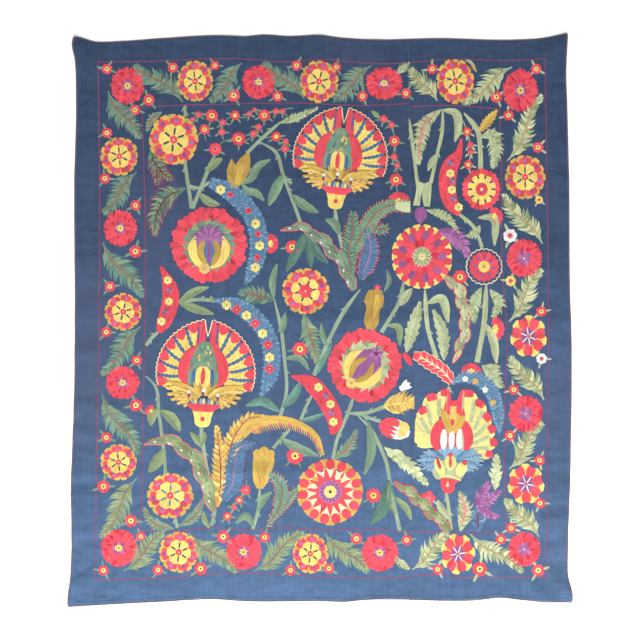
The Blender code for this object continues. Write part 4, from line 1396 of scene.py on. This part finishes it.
SPRIGS = [Sprig(*row) for row in (
    (191.7, 118.5, 2.6), (197.8, 113.3, 3.4), (211, 114.7, 6.4, "yellow"), (203.8, 128.5, 5.2, "yellow"),
    (222, 121.6, 3.6), (221, 131, 3.8), (234.3, 114.4, 5, "yellow"), (248.6, 113, 3), (254, 108.7, 2.5),
    (263.7, 114.4, 6, "yellow"), (275.3, 110.4, 3.5), (282, 110.4, 3), (258, 126, 3.5), (253.2, 132.8, 4),
    (238, 138, 7, "yellow"), (275.6, 135.7, 5, "yellow"), (285.2, 140.5, 3.2), (284.4, 147.8, 4),
    (214.5, 148.3, 6.5, "rose"), (291.6, 246.5, 7, "yellow"), (383.2, 118, 4.2), (391, 124, 3.5),
    (394, 140, 5.7, "yellow"), (393.9, 156, 3.7), (397, 164.7, 3.2), (395.6, 178.8, 6.5, "yellow"),
    (245, 490, 5, "rose"), (238.6, 500, 4, "yellow"), (233.4, 507, 3), (226.7, 516, 4.5, "yellow"),
    (299.4, 348.8, 7.5, "yellow"), (294.5, 455.8, 8.5, "yellow"), (373, 495.4, 7.5, "yellow"),
    (467, 130.7, 4.6, "yellow"), (470, 144, 3.4), (470.5, 151, 3.2), (468, 163.8, 4.6, "yellow"),
    (377, 287.5, 3.4), (428, 498, 7.5), (459.8, 276.6, 7.2, "yellow"),
)]

SPRIG_STEMS = [
    [(191, 119), (198, 113), (211, 115), (218, 120), (221, 131)],
    [(222, 122), (234, 114), (242, 117), (254, 108)],
    [(216, 146), (222, 141), (238, 138), (247, 139), (253, 133), (258, 124)],
    [(264, 114), (275, 110), (293, 107)], [(203, 129), (205, 140)],
    [(264, 137), (276, 136), (285, 141), (285, 158)],
    [(372, 110), (383, 118), (391, 124), (394, 140), (394, 156), (397, 165), (395.6, 179), (397, 192)],
    [(463, 120), (467, 131), (470, 144), (470.5, 151), (468, 164)],
    [(246, 480), (245, 490), (233, 507), (227, 516)],
]


def leaf_kind(hand, kind, shade_name, half, points):
    """A leaf of the field, by its kind and the name of its shade."""
    if kind == "feathered":
        shades, rib = LEAF_SHADES[shade_name]
        pitch = 6.5 if shade_name == "light" else 3.6
        lobes = int(np.clip(path_length(np.array(points)) / pitch, 6, 14))
        feathered_leaf(hand, points, half, shades, rib, lobes, foot=0.92,
                       hairs="couch" if shade_name == "frilled" else None,
                       fullness=0.88 if shade_name in ("gold", "ochre") else 0.66)
    elif kind == "jagged":
        jagged_leaf(hand, points, half, shade_name, teeth=7, bite=0.34)
    elif kind == "haired":
        haired_leaf(hand, points, half, shade_name)
    else:
        jagged_leaf(hand, points, half, shade_name)


def sew_field_greens():
    """The stems, a filled arch on the narrow panel, and then the leaves over them.

    The stems are darker on the wide panel and paler on the narrow one.
    """
    for stem in STEMS:
        middle = stem.points[len(stem.points) // 2]
        hand = Hand(work_on("stems", *middle))
        green = "sage" if right_of_seam(*middle) else "stem"
        hand.band(stem.points, np.array([0.35, 1.0, 1.05, 1.0, 0.95, 1.0, 1.1]) * stem.half, green)
        line = smooth_path(stem.points, 21)
        for k, turn in ((5, -1), (12, 1)):
            out, aside = directions(line[k + 1] - line[k])
            hand.petal(line[k] - out, line[k] + 4 * out + turn * (stem.half + 2.2) * aside, 1.1, green,
                       rows=5, profile=(0.9, 1, 0.8, 0.5, 0.05))
    arch = Hand(work_on("stems", 424, 190))
    for left, right in (([(416.5, 180), (415.5, 192), (412.5, 204.5)],
                         [(424.5, 183), (421.6, 191), (419.2, 205)]),
                        ([(423.5, 183), (421.6, 191), (423.8, 205.5)],
                         [(431.5, 180), (431, 192), (429.5, 206)])):
        arch.fill(smooth_path(left, 13), smooth_path(right, 13), "sage", level=0.5, cols=5)
    for blade in BLADES:
        middle = blade.points[len(blade.points) // 2]
        hand = Hand(work_on("leaves", *middle), level=1)
        if blade.shade == "ochre":
            hand.side = -1
        leaf_kind(hand, *blade)


def sew_sprigs():
    """Strings of small red flowers on thin stems, with leaflets under each."""
    for points in SPRIG_STEMS:
        green = "sage" if right_of_seam(*points[0]) else "leaf"
        Hand(work_on("sprigs", *points[0])).band(points, 0.65, green, cols=3, crown=0.7)
    for sprig in SPRIGS:
        work = work_on("sprigs", sprig.x, sprig.y)
        hand = Hand(work, sprig.x, sprig.y, work.random.uniform(-30, 30), level=1)
        leaflet = "sage" if right_of_seam(sprig.x, sprig.y) else "leaf"
        for clock in (115, 180, 245):
            hand.ray(clock + work.random.uniform(-15, 15), 0.7 * sprig.size, 1.3 * sprig.size + 3.4, 0.95,
                     leaflet)
        if sprig.heart:
            blossom(hand, 0.93 * sprig.size, "red", sprig.heart, "eye" if sprig.size > 5 else None)
        else:
            blossom(hand, 0.93 * sprig.size, "red", "rose", None, 5)


def sew_field_rosettes():
    """The field's large rosettes, each of its own kind."""
    gold_rosette(hand_at("rosettes", 172.8, 138.8, 0, 0.94, spin=8), 25.8, 8)
    gold_rosette(hand_at("rosettes", 304.9, 290.6, spin=20), 23.4, hub=0.3)
    gold_rosette(hand_at("rosettes", 169.4, 495.4, spin=3), 23, spoke="blue")
    zigzag_rosette(hand_at("rosettes", 329.8, 491.6), 33)
    cream_rim_rosette(hand_at("rosettes", 421.6, 256, 0, 0.95), 32)
    red_ring_rosette(hand_at("rosettes", 481.5, 188.5, 0, 0.93), 20.6)
    ringed_rosette(hand_at("rosettes", 484, 266), 18)


HalfFlower = namedtuple("HalfFlower", "x y turn wide size")

HALF_FLOWERS = [HalfFlower(*row) for row in (
    (268, 243, 90, 1, 10), (398.5, 203, 0, 1, 12), (152, 411, -90, 0.8, 8), (492.5, 216.5, 75, 0.95, 10.5),
    (493, 328.5, 90, 1.1, 11.5), (471, 373, 0, 1, 10.5),
)]


def sew_half_flowers():
    """Flowers that another motif or the seam hides in part."""
    for flower in HALF_FLOWERS:
        half_blossom(hand_at("half_flowers", flower.x, flower.y, flower.turn, flower.wide), flower.size)


def sew_horns():
    """The blue crescents and the red pods, with the small flowers on them."""
    hand = Hand(work_on("crescents", 240, 220), level=2)
    spine = [(209, 181), (228, 190), (243, 203), (254, 219), (258, 237), (257, 255), (252, 270), (244, 284)]
    crescent(hand, spine, 9, "blue", "sky", (0.5, 0.95, 1.0, 1.0, 1.0, 0.95, 0.8, 0.15))
    dot_with(hand, ((220, 189), (255, 223), (259, 245), (254.6, 267)), 5, 4.5, "lemon", "lemon", "eye", 6)
    dot_with(hand, ((229.6, 194), (247.7, 210), (257.5, 233.5), (256.7, 257)), 4, 3.2, "red", "crimson",
             None, 4)
    spine = [(214, 299), (234, 304), (251, 314.4), (265, 331.6), (271, 350.5), (270, 373), (259, 398)]
    crescent(hand, spine, 8.5, "blue", "sky", (0.15, 0.9, 1.0, 1.0, 1.0, 0.9, 0.1))
    dot_with(hand, ((226, 304.6), (246, 315), (262, 333), (269, 357)), 5, 4.5, "lemon", "lemon", "eye", 6)
    dot_with(hand, ((236, 309), (254.6, 323), (267.5, 344.5), (269, 368.6)), 4, 4.6, "red", "crimson",
             "cream", 4)
    hand = Hand(work_on("crescents", 480, 390), level=2)
    spine = [(451, 383), (462, 377), (477, 378), (490, 389), (497, 408), (499.5, 434)]
    crescent(hand, spine, 7, "blue", "sky", (0.2, 0.9, 1.0, 1.0, 0.85, 0.1))
    for x, y, tone in ((465, 378.5, "white"), (485, 389.3, "white"), (475, 381, "gold"), (493, 402, "gold")):
        blossom(Hand(hand.work, x, y, level=5), 2.9, tone, tone, "eye" if tone == "white" else None, 5)
    hand = Hand(work_on("pods", 165, 300), level=2)
    spine = [(160, 266), (166, 278), (170, 294), (167, 312), (158, 332)]
    pod(hand, spine, 8.4, ((167, 279.6), (168, 301), (160.7, 320.8)), ((168.5, 290), (164.5, 311)),
        (0.15, 0.45, 0.85, 1.0, 1.0, 0.95, 0.85, 0.3))
    spine = [(291, 375.5), (308, 381.5), (321.8, 395), (330, 408), (334.5, 421), (332, 434)]
    pod(hand, spine, 8.6, ((318, 386.7), (330, 403.6), (333, 421.5)), ((325, 395.5), (331, 412.5)),
        (0.1, 0.55, 0.95, 1.0, 1.0, 1.0, 0.85, 0.3))
    hand = Hand(work_on("pods", 450, 180), level=2)
    spine = [(461, 138), (458.5, 152), (450, 166), (447, 183), (450, 200), (459, 214)]
    pod(hand, spine, 8.6, ((450, 172.7), (451.6, 189), (458.4, 206.5)), ((450, 162), (452, 180), (453, 198)),
        (0.15, 0.35, 0.8, 1.0, 1.0, 0.95, 0.8, 0.3))


def sew_fruits():
    """The two pomegranates, the gourd and the other buds."""
    pomegranate(hand_at("fruits", 208.4, 244.7, level=1), 38.5, "teal")
    pomegranate(hand_at("fruits", 364.8, 365.2, 42.5, level=1), 37, "sage", None, (0.04, 0.6))
    hand = Hand(work_on("buds", 372, 308), level=2)
    hand.band([(373, 289), (374, 299), (372, 312), (370, 329)], (5, 9.5, 9.5, 6.6, 7.4, 7.4, 4), "olive",
              cols=7)
    hand.band([(377, 294), (376, 305), (373, 318)], (2, 3.5, 1), "gold", level=1.5)
    for tip in ((363, 300), (383, 306)):
        hand.petal((372, 303), tip, 2.5, "olive", rows=4)
    hand.band([(264.5, 450), (263, 461), (261, 473), (259, 488.5)], (7, 10.8, 10.6, 9, 7.6, 3), "gold",
              cols=7)
    for x, y, size in ((257, 453.5, 4.6), (263.5, 451, 4.6), (270, 453.5, 4)):
        hand.disc(size, "gold", (x, y), level=0.5)
    for k in range(7):
        hand.petal((260 + k % 3 * 2, 486 - 2 * k), (256 + 2.4 * k, 458 + abs(k - 3)), 1.3, "olive",
                   level=1.6)
    for tip, half in (((231, 158), 4.2), ((248, 151.5), 6.6)):
        hand.petal((227 + half, 187), tip, half, "olive", cols=5, crown=0.8,
                   profile=(0.35, 0.9, 1.15, 1.1, 0.8, 0.1))
    for tip in ((226, 168), (250.5, 167)):
        hand.petal((235, 180), tip, 3, "olive", level=0.6)
    hand.petal((236, 184), (242, 162), 3.6, "gold", level=1.6)
    bud = Hand(hand.work, 394, 428.4, 16, level=2)
    bud.band([(-15.5, 0), (0, 0), (16, 1)], (3, 8.5, 10, 9.8, 8.4, 2.5), "white", cols=7)
    bud.band([(-15.5, 0), (-5, 0), (3.5, 0)], (3, 7.4, 9.4, 10.4, 10, 8.5), "red", level=1, cols=7)
    bud.band([(4, -1), (9, -1), (13.5, 0)], (7, 8.6, 8, 5), "ochre", level=2, cols=5)
    for y in (-1, 3.4, 7.4):
        bud.petal((5, y), (-2.5, y - 1), 1.9, "white", level=3.4, rows=5, profile=(1, 0.9, 0.6, 0.3, 0.05))
    tulip = Hand(hand.work, 403, 387, 55, level=2)
    for clock in (-32, 0, 32):
        tulip.ray(clock, -4, 8.5, 2.6, "white")
    violet = Hand(work_on("buds", 421, 214), level=2)
    violet.petal((420.5, 223), (420.5, 206.5), 6, "purple", cols=5, profile=(0.15, 0.6, 1, 1, 0.9, 0.5))
    red = Hand(work_on("buds", 431, 366), level=2)
    spine = smooth_path([(413, 355), (421, 357), (432, 363.5), (443, 371), (452, 382.5)], 9)
    for shade, more, level in (("cream", 0.9, 0), ("red", 0, 1)):
        sizes = np.array([3, 6.6, 7.4, 7.4, 6.6, 6.4, 3.5]) + more
        red.band(spine, sizes, shade, level=level, cols=7, teeth=6, bite=0.26, crown=0.7)
    red.band(spine[1:], 0.5, "cream", level=3, cols=3)
    for k in range(1, 7):
        ahead, aside = directions(spine[k + 1] - spine[k])
        for turn in (-1, 1):
            red.petal(spine[k + 1], spine[k] + 4.6 * turn * aside - ahead, 0.45, "cream", bow=0.15 * turn,
                      level=3)
    jagged_leaf(red, [(403, 352), (407, 358), (411.5, 365)], 3.4, "red")


def sew_chains():
    """The long plaited leaves and the other great leaves of the wide panel and the narrow one."""
    hand = Hand(work_on("chains", 190, 460), level=1)
    plaited_leaf(hand, [(142.7, 443), (157, 439.5), (173, 442), (190, 454), (202, 473), (208, 492),
                        (215, 511)], 6.4, "moss", taper=(0.12, 0.6, 0.9, 1, 1, 1, 0.4))
    plaited_leaf(hand, [(279.6, 228.4), (297.6, 226), (316, 235), (332, 250), (344, 265), (352, 290)], 5.6,
                 "leaf", taper=(0.1, 0.6, 0.9, 1, 1, 0.6), links=8)
    plaited_leaf(hand, [(394.4, 480), (404, 488), (413, 495), (430.5, 511), (451, 530)], 5.4, "moss", "red",
                 None)
    arm = Hand(hand.work, level=1, side=-1)
    haired_leaf(arm, [(412, 206), (391, 204.5), (376, 212), (365, 228), (353, 250)], 8, "leaf",
                taper=(0.75, 0.75, 0.95, 1, 0.7))
    arm.band([(412, 206), (404, 206), (395, 205)], (5.6, 5.4, 3), "lime", level=3.2)
    haired_leaf(hand, [(366, 228), (370, 246), (367, 262), (360, 279)], 8.6, "blue",
                ("rose", "plum"), (0.3, 0.8, 1.0, 0.9, 0.3), "steel", "lilac")
    haired_leaf(hand, [(255, 443), (240, 447), (234, 465), (232, 482), (223, 500)], 9.5, "blue",
                ("steel", "plum"), (0.1, 0.8, 1.0, 1.0, 0.9, 0.4), "steel", "lilac")
    tail = [(240, 434), (250, 424), (264, 420.5), (281, 419.5), (301, 425), (316, 436), (323.5, 455)]
    hand.band(tail, (6, 6.4, 4.4, 3.7, 3, 2.2, 0.5), "gold", level=1)
    line = smooth_path(tail, 40)
    for k in range(3, 39):
        out = beside(line, 0 * line[:, 0] + 3.2)[k] - line[k]
        width = np.interp(k, (4, 20, 38), (2.1, 1.5, 0.8))
        tip = line[k] - 1.9 * width * out + 1.3 * (line[k + 1 if k < 39 else k] - line[k])
        hand.petal(line[k] - 0.4 * width * out, tip, 0.9, "rose" if k % 4 == 0 else "gold", level=1.5,
                   rows=4, profile=(1, 0.9, 0.6, 0.1))
    hand = Hand(work_on("chains", 462, 320), level=1)
    plaited_leaf(hand, [(446, 274), (458, 289), (464, 309), (465, 328), (460, 346), (451.5, 362)], 5.4,
                 "sage", "red", None, links=8, taper=(0.6, 1, 1, 0.9, 0.8, 0.15))


# The cloth and its sewing


def surfaces(name, grids):
    """One closed mesh of several grids of points, joined where they meet."""
    mesh = bpy.data.meshes.new(name)
    mesh.from_pydata(points_of(grids), [], quads_of(grids).tolist())
    mesh.shade_smooth()
    return join_doubles(name, mesh, closed=True)


def close_steps(count, length):
    """Shares from 0 to 1: even steps, and finer ones near both ends for the hem and the rounding."""
    fine = np.array(EDGE_STEPS) * MM / length
    return np.unique(np.concatenate([np.linspace(0, 1, count), fine, 1 - fine]))


def ground_sheet(name, share, outer):
    """A cotton panel: a closed slab between the cloth's underside and its face.

    The face rises over the turned hem, sinks to the seam and is rounded off at all four borders.
    share gives the share across the cloth, and outer is the one on the panel's free side.
    """
    across, up = PANEL_GRID[name]
    width, height = PANEL_CUT[name]
    v, a = np.meshgrid(close_steps(up, height), close_steps(across, width), indexing="ij")
    u = share(a, v)
    x, y = cloth_place(u, v)
    from_side = np.abs(u - outer) * (right_edge(y) - left_edge(y))
    from_edge = np.minimum(from_side, np.minimum(v, 1 - v) * height)
    from_border = np.minimum(from_edge, np.abs(a - (1 - outer)) * width)
    hem = np.clip((HEM_WIDTH - from_edge) / HEM_STEP, 0, 1)
    rounding = np.clip(1 - from_border / EDGE_ROUNDING, 0, 1) ** 2
    low = lift(x, y)
    high = face_of_cloth(x, y) + HEM_RISE * hem * (2 - hem) - 0.35 * CLOTH_THICKNESS * rounding
    top, under = np.stack([x, y, high], axis=-1), np.stack([x, y, low], axis=-1)
    walls = [np.stack([top[cut], under[cut]]) for cut in (np.s_[0], np.s_[-1], np.s_[:, 0], np.s_[:, -1])]
    return surfaces(name, [top, under] + walls)


def cloth_width(v):
    """The cloth's width at share v up it."""
    return cloth_place(1.0, v)[0] - cloth_place(0.0, v)[0]


def left_share(a, v):
    """From the left edge to half a sewing gap short of the seam."""
    return a * (seam_share(v) - SEWING_GAP / 2 / cloth_width(v))


def right_share(a, v):
    """From half a sewing gap past the seam to the right edge."""
    return between(seam_share(v) + SEWING_GAP / 2 / cloth_width(v), 1, a)


def edge_braid(side, u, v, outward, reach):
    """The braid along one side: a two-lobed strand that turns once in each pitch, with knots.

    It runs just outside the cloth's edge, and its knots stand out from it at even steps.
    """
    x, y = cloth_place(u, v)
    edge = np.stack([x, y], axis=1)
    run = np.gradient(edge, axis=0)
    run /= np.linalg.norm(run, axis=1)[:, None]
    normal = np.stack([-run[:, 1], run[:, 0]], axis=1)
    normal *= np.sign(normal @ np.array(outward))[:, None]
    line = edge + normal * (SEWING_GAP + BRAID_RADIUS)
    line[0] -= run[0] * reach
    line[-1] += run[-1] * reach
    middle = np.column_stack([line, lift(x, y) + BRAID_RADIUS])
    out = np.column_stack([normal, np.zeros(len(line))])
    along = np.concatenate([[0], np.cumsum(np.linalg.norm(np.diff(line, axis=0), axis=1))])
    round_it = np.linspace(0, 2 * np.pi, 9)
    turned = round_it[None] - 2 * np.pi * along[:, None] / BRAID_PITCH
    radius = BRAID_RADIUS * (0.68 + 0.32 * np.abs(np.cos(turned)))
    radius[[0, -1]] = 0
    strand = middle[:, None] + radius[..., None] * (
        np.cos(round_it)[:, None] * out[:, None] + np.sin(round_it)[:, None] * np.array([0, 0, 1.0])
    )
    grids = [strand]
    polar, round_knot = np.meshgrid(np.linspace(0, np.pi, 5), np.linspace(0, 2 * np.pi, 7), indexing="ij")
    for place in np.arange(PICOT_PITCH / 2, along[-1], PICOT_PITCH):
        i = np.searchsorted(along, place)
        knot = middle[i] + out[i] * 1.3 * BRAID_RADIUS
        shape = (
            np.cos(polar)[..., None] * out[i] * KNOT_SIZE
            + (np.sin(polar) * np.cos(round_knot))[..., None] * np.append(run[i], 0) * KNOT_SIZE
            + (np.sin(polar) * np.sin(round_knot))[..., None] * np.array([0, 0, 0.9]) * BRAID_RADIUS
        )
        grids.append(knot + shape)
    return surfaces("edge_" + side, grids)


def sew_seam():
    """Slanted lacing stitches over the long seam, and running stitches along the hems."""
    work = Needlework("seam_stitches", 7)
    hand = Hand(work)
    for y in np.arange(*LACING_SPAN, LACING_PITCH / UNIT):
        x = seam_at(y)
        hand.petal((x - 0.75, y - 0.3), (x + 0.75, y + 0.3), 0.2, "seam", rows=4, crown=0.5,
                   profile=(0.6, 1, 1, 0.6))
    hems = Needlework("hem_stitches", 8)
    hand = Hand(hems)
    share = np.linspace(0.009, 0.991, int(2.0 / HEM_STITCH_PITCH))
    inset = 0.8 * HEM_WIDTH
    for u, v in ((share, 0 * share), (share, 0 * share + 1), (0 * share, share), (0 * share + 1, share)):
        x, y = cloth_place(u, v)
        x = x - np.sign(u - 0.5) * inset * (u == u[0]) * (u == u[-1])
        y = y - np.sign(v - 0.5) * inset * (v == v[0]) * (v == v[-1])
        points = np.stack([CHART_MIDDLE + x / UNIT, CHART_MIDDLE - y / UNIT], axis=1)
        for here, after in zip(points[:-1], points[1:]):
            hand.petal(here, between(here, after, 0.45), 0.13, "seam", level=1.6, rows=3, crown=0.3,
                       profile=(0.5, 1, 0.5))
    return work, hems


# The materials


class Wire:
    """A shader socket on which Python's arithmetic adds Math nodes."""

    def __init__(self, recipe, socket):
        self.recipe = recipe
        self.socket = socket

    def __add__(self, other):
        return self.recipe.maths("ADD", self, other)

    def __sub__(self, other):
        return self.recipe.maths("SUBTRACT", self, other)

    def __rsub__(self, other):
        return self.recipe.maths("SUBTRACT", other, self)

    def __mul__(self, other):
        return self.recipe.maths("MULTIPLY", self, other)

    __radd__ = __add__
    __rmul__ = __mul__


class Recipe:
    """A material in the making. Every node but arithmetic comes from the node method."""

    def __init__(self, name):
        self.material = bpy.data.materials.new(name)
        self.material.use_nodes = True
        self.tree = self.material.node_tree
        self.tree.nodes.clear()

    def node(self, kind, settings=(), values=(), output=0):
        """A node of that kind: its settings first, then its sockets' values or wires."""
        node = self.tree.nodes.new(kind)
        for key, value in dict(settings).items():
            setattr(node, key, value)
        for key, value in dict(values).items():
            if isinstance(value, Wire):
                self.tree.links.new(value.socket, node.inputs[key])
            else:
                node.inputs[key].default_value = value
        return Wire(self, node.outputs[output]) if node.outputs else None

    def maths(self, operation, first, second):
        """A Math node of two sockets or numbers."""
        return self.node("ShaderNodeMath", {"operation": operation}, {0: first, 1: second})

    def noise(self, place, scale, detail=3.0, stretch=(1, 1, 1)):
        """Cloudy noise about a half, stretched along the axes with small factors."""
        stretched = self.node("ShaderNodeMapping", {}, {"Vector": place, "Scale": stretch})
        return self.node("ShaderNodeTexNoise", {}, {"Vector": stretched, "Scale": scale, "Detail": detail})

    def spread(self, wire, low, high, to_low=0.0, to_high=1.0):
        """The wire's range from low to high, moved to another range and kept inside it."""
        return self.node("ShaderNodeMapRange", {"clamp": True}, {
            "Value": wire, "From Min": low, "From Max": high, "To Min": to_low, "To Max": to_high})

    def mix(self, factor, first, second, blend="MIX"):
        """A colour between two, or their product where the blend is MULTIPLY."""
        return self.node("ShaderNodeMix", {"data_type": "RGBA", "blend_type": blend},
                         {0: factor, 6: first, 7: second}, output=2)

    def finish(self, colour, roughness, height, depth, sheen):
        """The surface: its colour and roughness, a bump of that depth in metres, and a soft sheen."""
        bump = self.node("ShaderNodeBump", {}, {"Height": height, "Distance": depth, "Strength": 1.0})
        surface = self.node("ShaderNodeBsdfPrincipled", {}, {
            "Base Color": colour, "Roughness": roughness, "Normal": bump, "Sheen Weight": sheen,
            "Sheen Roughness": SHEEN_ROUGHNESS, "Specular IOR Level": CLOTH_GLOSS})
        self.node("ShaderNodeOutputMaterial", {}, {"Surface": surface})
        return self.material


def shade(red, green, blue):
    """A node's colour value, for a colour given from 0 to 255."""
    return (*linear((red, green, blue)), 1.0)


def cotton():
    """Plain-woven blue cotton: uneven yarns both ways, clouds, painted shade and light, a bump per yarn."""
    r = Recipe("blue cotton")
    place = r.node("ShaderNodeTexCoord", output=3)
    x = r.node("ShaderNodeSeparateXYZ", {}, {0: place}, output=0)
    y = r.node("ShaderNodeSeparateXYZ", {}, {0: place}, output=1)
    # Painted shade: the cloth's colour darkens from the bottom towards the top, as the light does
    painted_shade_share = r.spread(y, -0.75, 0.5)
    painted_shade_gradient = r.mix(painted_shade_share, shade(*COTTON_LIT_BOTTOM), shade(*COTTON_SHADED_TOP))
    warp_slubs = r.noise(place, 1.0, 2.0, (420, 9, 1))
    weft_slubs = r.noise(place, 1.0, 2.0, (7, 380, 1))
    streaks = r.noise(place, 1.0, 2.0, (60, 1.6, 1))
    clouds = r.noise(place, 3.2, 4.0)
    grain = r.noise(place, 190.0, 2.0)
    mottle = r.noise(place, 24.0, 5.0, (1, 1.9, 1))
    # Lighter blotches of uneven tone, made stronger towards the bottom: that growth is painted light
    bottom_lit_blotches = r.spread(r.noise(place, 1.0, 3.0, (1.8, 7, 1)), 0.5, 0.72, 0.0, 0.24) * (1.0 - painted_shade_share)
    # Painted shade and light: bands along the side margins that stand for the shading of the ripples there
    ripple_margin_share = r.spread(r.maths("ABSOLUTE", x, 0), 0.68, 0.8)
    painted_ripple_shade = ripple_margin_share * (r.noise(place, 1.0, 2.0, (3, 13, 1)) - 0.5)
    tone = (warp_slubs * 0.4 + weft_slubs * 0.24 + streaks * 0.26 + clouds * 0.34 + grain * 0.6 +
            mottle * 0.66 + bottom_lit_blotches + painted_ripple_shade * 0.8 - 0.25)
    grey = r.node("ShaderNodeCombineColor", {}, {0: tone, 1: tone, 2: tone})
    toned = r.mix(1.0, painted_shade_gradient, grey, "MULTIPLY")
    blush = r.spread(r.noise(place, 1.5, 2.0), 0.5, 0.75, 0.0, 0.35)
    blushed = r.mix(blush, toned, shade(*COTTON_BLUSH))
    from_patch = r.node("ShaderNodeVectorMath", {"operation": "DISTANCE"}, {0: place, 1: PURPLISH_PATCH},
                        output=1)
    purplish_patch = r.spread(from_patch, 0.1, 0.42, 0.5, 0.0)
    colour = r.mix(purplish_patch, blushed, shade(*COTTON_PURPLISH))
    warp = r.maths("SINE", x * (2 * np.pi / YARN_PITCH), 0)
    weft = r.maths("SINE", y * (2 * np.pi / YARN_PITCH), 0)
    weave = warp * weft * 0.25 + warp_slubs * 0.5 + weft_slubs * 0.3
    return r.finish(colour, r.spread(clouds, 0.3, 0.7, 0.8, 0.95), weave, 0.00025, 0.12)


def silk():
    """Silk floss: each patch's own colour, streaked along its threads, with a ridge per thread."""
    r = Recipe("silk floss")
    own = r.node("ShaderNodeAttribute", {"attribute_name": "silk"})
    thread = r.node("ShaderNodeUVMap", {"uv_map": "thread"})
    across = r.node("ShaderNodeSeparateXYZ", {}, {0: thread}, output=1)
    strands = r.noise(thread, 1.0, 2.0, (40, 450, 1))
    worn = r.noise(thread, 1.0, 3.0, (15, 120, 1))
    tone = 0.16 + strands * 0.78 + worn * 0.92
    grey = r.node("ShaderNodeCombineColor", {}, {0: tone, 1: tone, 2: tone})
    colour = r.mix(1.0, own, grey, "MULTIPLY")
    ridge = r.maths("SINE", across * (2 * np.pi / THREAD_PITCH), 0)
    return r.finish(colour, r.spread(worn, 0.3, 0.7, 0.5, 0.72), ridge * 0.3 + strands * 0.5, 0.0006, 0.18)


def braid():
    """Matt maroon yarn with fine slanting fibres and dusty lighter patches."""
    r = Recipe("maroon braid")
    place = r.node("ShaderNodeTexCoord", output=3)
    fibres = r.noise(place, 900.0, 2.0)
    dust = r.noise(place, 14.0, 3.0)
    colour = r.mix(r.spread(fibres * 0.5 + dust * 0.5, 0.35, 0.68), shade(*BRAID_DARK), shade(*BRAID_LIGHT))
    return r.finish(colour, r.spread(dust, 0.3, 0.7, 0.75, 0.95), fibres, 0.0003, 0.1)


def floor_finish():
    """A pale studio surface, bright enough to read as white."""
    r = Recipe("pale floor")
    place = r.node("ShaderNodeTexCoord", output=3)
    mottle = r.noise(place, 4.0, 2.0)
    colour = r.mix(mottle, shade(244, 244, 244), shade(250, 250, 250))
    surface = r.node("ShaderNodeBsdfPrincipled", {}, {
        "Base Color": colour, "Roughness": 0.9, "Emission Color": (1, 1, 1, 1),
        "Emission Strength": FLOOR_GLOW
    })
    r.node("ShaderNodeOutputMaterial", {}, {"Surface": surface})
    return r.material


# The making


def dress(piece, material, nodes=()):
    """Gives a piece its material and slot, and the nodes that it stands for."""
    piece.data.materials.clear()
    piece.data.materials.append(material)
    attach(piece, "root")
    if nodes:
        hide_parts(*nodes)
    return piece


cotton_cloth, silk_floss, maroon_yarn = cotton(), silk(), braid()

ground_left = dress(ground_sheet("ground_left", left_share, 0), cotton_cloth,
                    ["panel_left"])
ground_right = dress(ground_sheet("ground_right", right_share, 1), cotton_cloth,
                     ["panel_right"])

whole = np.linspace(0, 1, BRAID_STATIONS)
none = 0 * whole
CORNER_REACH = 2 * BRAID_RADIUS + SEWING_GAP
for side, u, v, outward, reach in (
    ("top", whole, none + 1, (0, 1), CORNER_REACH),
    ("bottom", whole, none, (0, -1), CORNER_REACH),
    ("left", none, whole, (-1, 0), -BRAID_END_TRIM),
    ("right", none + 1, whole, (1, 0), -BRAID_END_TRIM),
):
    dress(edge_braid(side, u, v, outward, reach), maroon_yarn, ["braid_" + side])

sew_border_rosettes()
sew_border_leaves()
sew_border_buds()
sew_couched_lines()
sew_field_greens()
sew_chains()
sew_half_flowers()
sew_field_rosettes()
sew_fruits()
sew_horns()
sew_sprigs()
sew_fans()

sewn = {"left": [], "right": []}
for name, work in works.items():
    panel = name.split("_")[0]
    sewn[panel].append(dress(work.piece(), silk_floss))
for work in sew_seam():
    sewn["left"].append(dress(work.piece(), silk_floss))

# The floor, the light and the camera


def plane(name, size, z):
    """A level square of that size, about the middle, at height z."""
    mesh = bpy.data.meshes.new(name)
    half = size / 2
    mesh.from_pydata([(-half, -half, z), (half, -half, z), (half, half, z), (-half, half, z)], [],
                     [(0, 1, 2, 3)])
    made = bpy.data.objects.new(name, mesh)
    bpy.context.scene.collection.objects.link(made)
    return made


floor = plane("floor", FLOOR_SIZE, -FLOOR_DROP)
floor.data.materials.append(floor_finish())


def soft_light(name, place, aim, size, power):
    """A square area light at a place, turned to face its aim."""
    lamp = bpy.data.lights.new(name, "AREA")
    lamp.size = size
    lamp.energy = power
    made = bpy.data.objects.new(name, lamp)
    made.location = place
    made.rotation_euler = (Vector(aim) - Vector(place)).to_track_quat("-Z", "Y").to_euler()
    bpy.context.scene.collection.objects.link(made)


soft_light("window", WINDOW_PLACE, WINDOW_AIM, WINDOW_SIZE, LAMP_POWER)

world = bpy.data.worlds.new("studio")
world.use_nodes = True
background = world.node_tree.nodes["Background"]
background.inputs["Color"].default_value = (1.0, 1.0, 1.0, 1.0)
background.inputs["Strength"].default_value = ROOM_LIGHT
bpy.context.scene.world = world
bpy.context.scene.view_settings.view_transform = "Standard"

lens = bpy.data.cameras.new("camera")
lens.lens = CAMERA_LENS
lens.sensor_width = CAMERA_SENSOR
lens.clip_end = CAMERA_REACH
camera = bpy.data.objects.new("camera", lens)
camera.location = (0, 0, CHART_SEEN * UNIT * CAMERA_LENS / CAMERA_SENSOR)
bpy.context.scene.collection.objects.link(camera)
bpy.context.scene.camera = camera
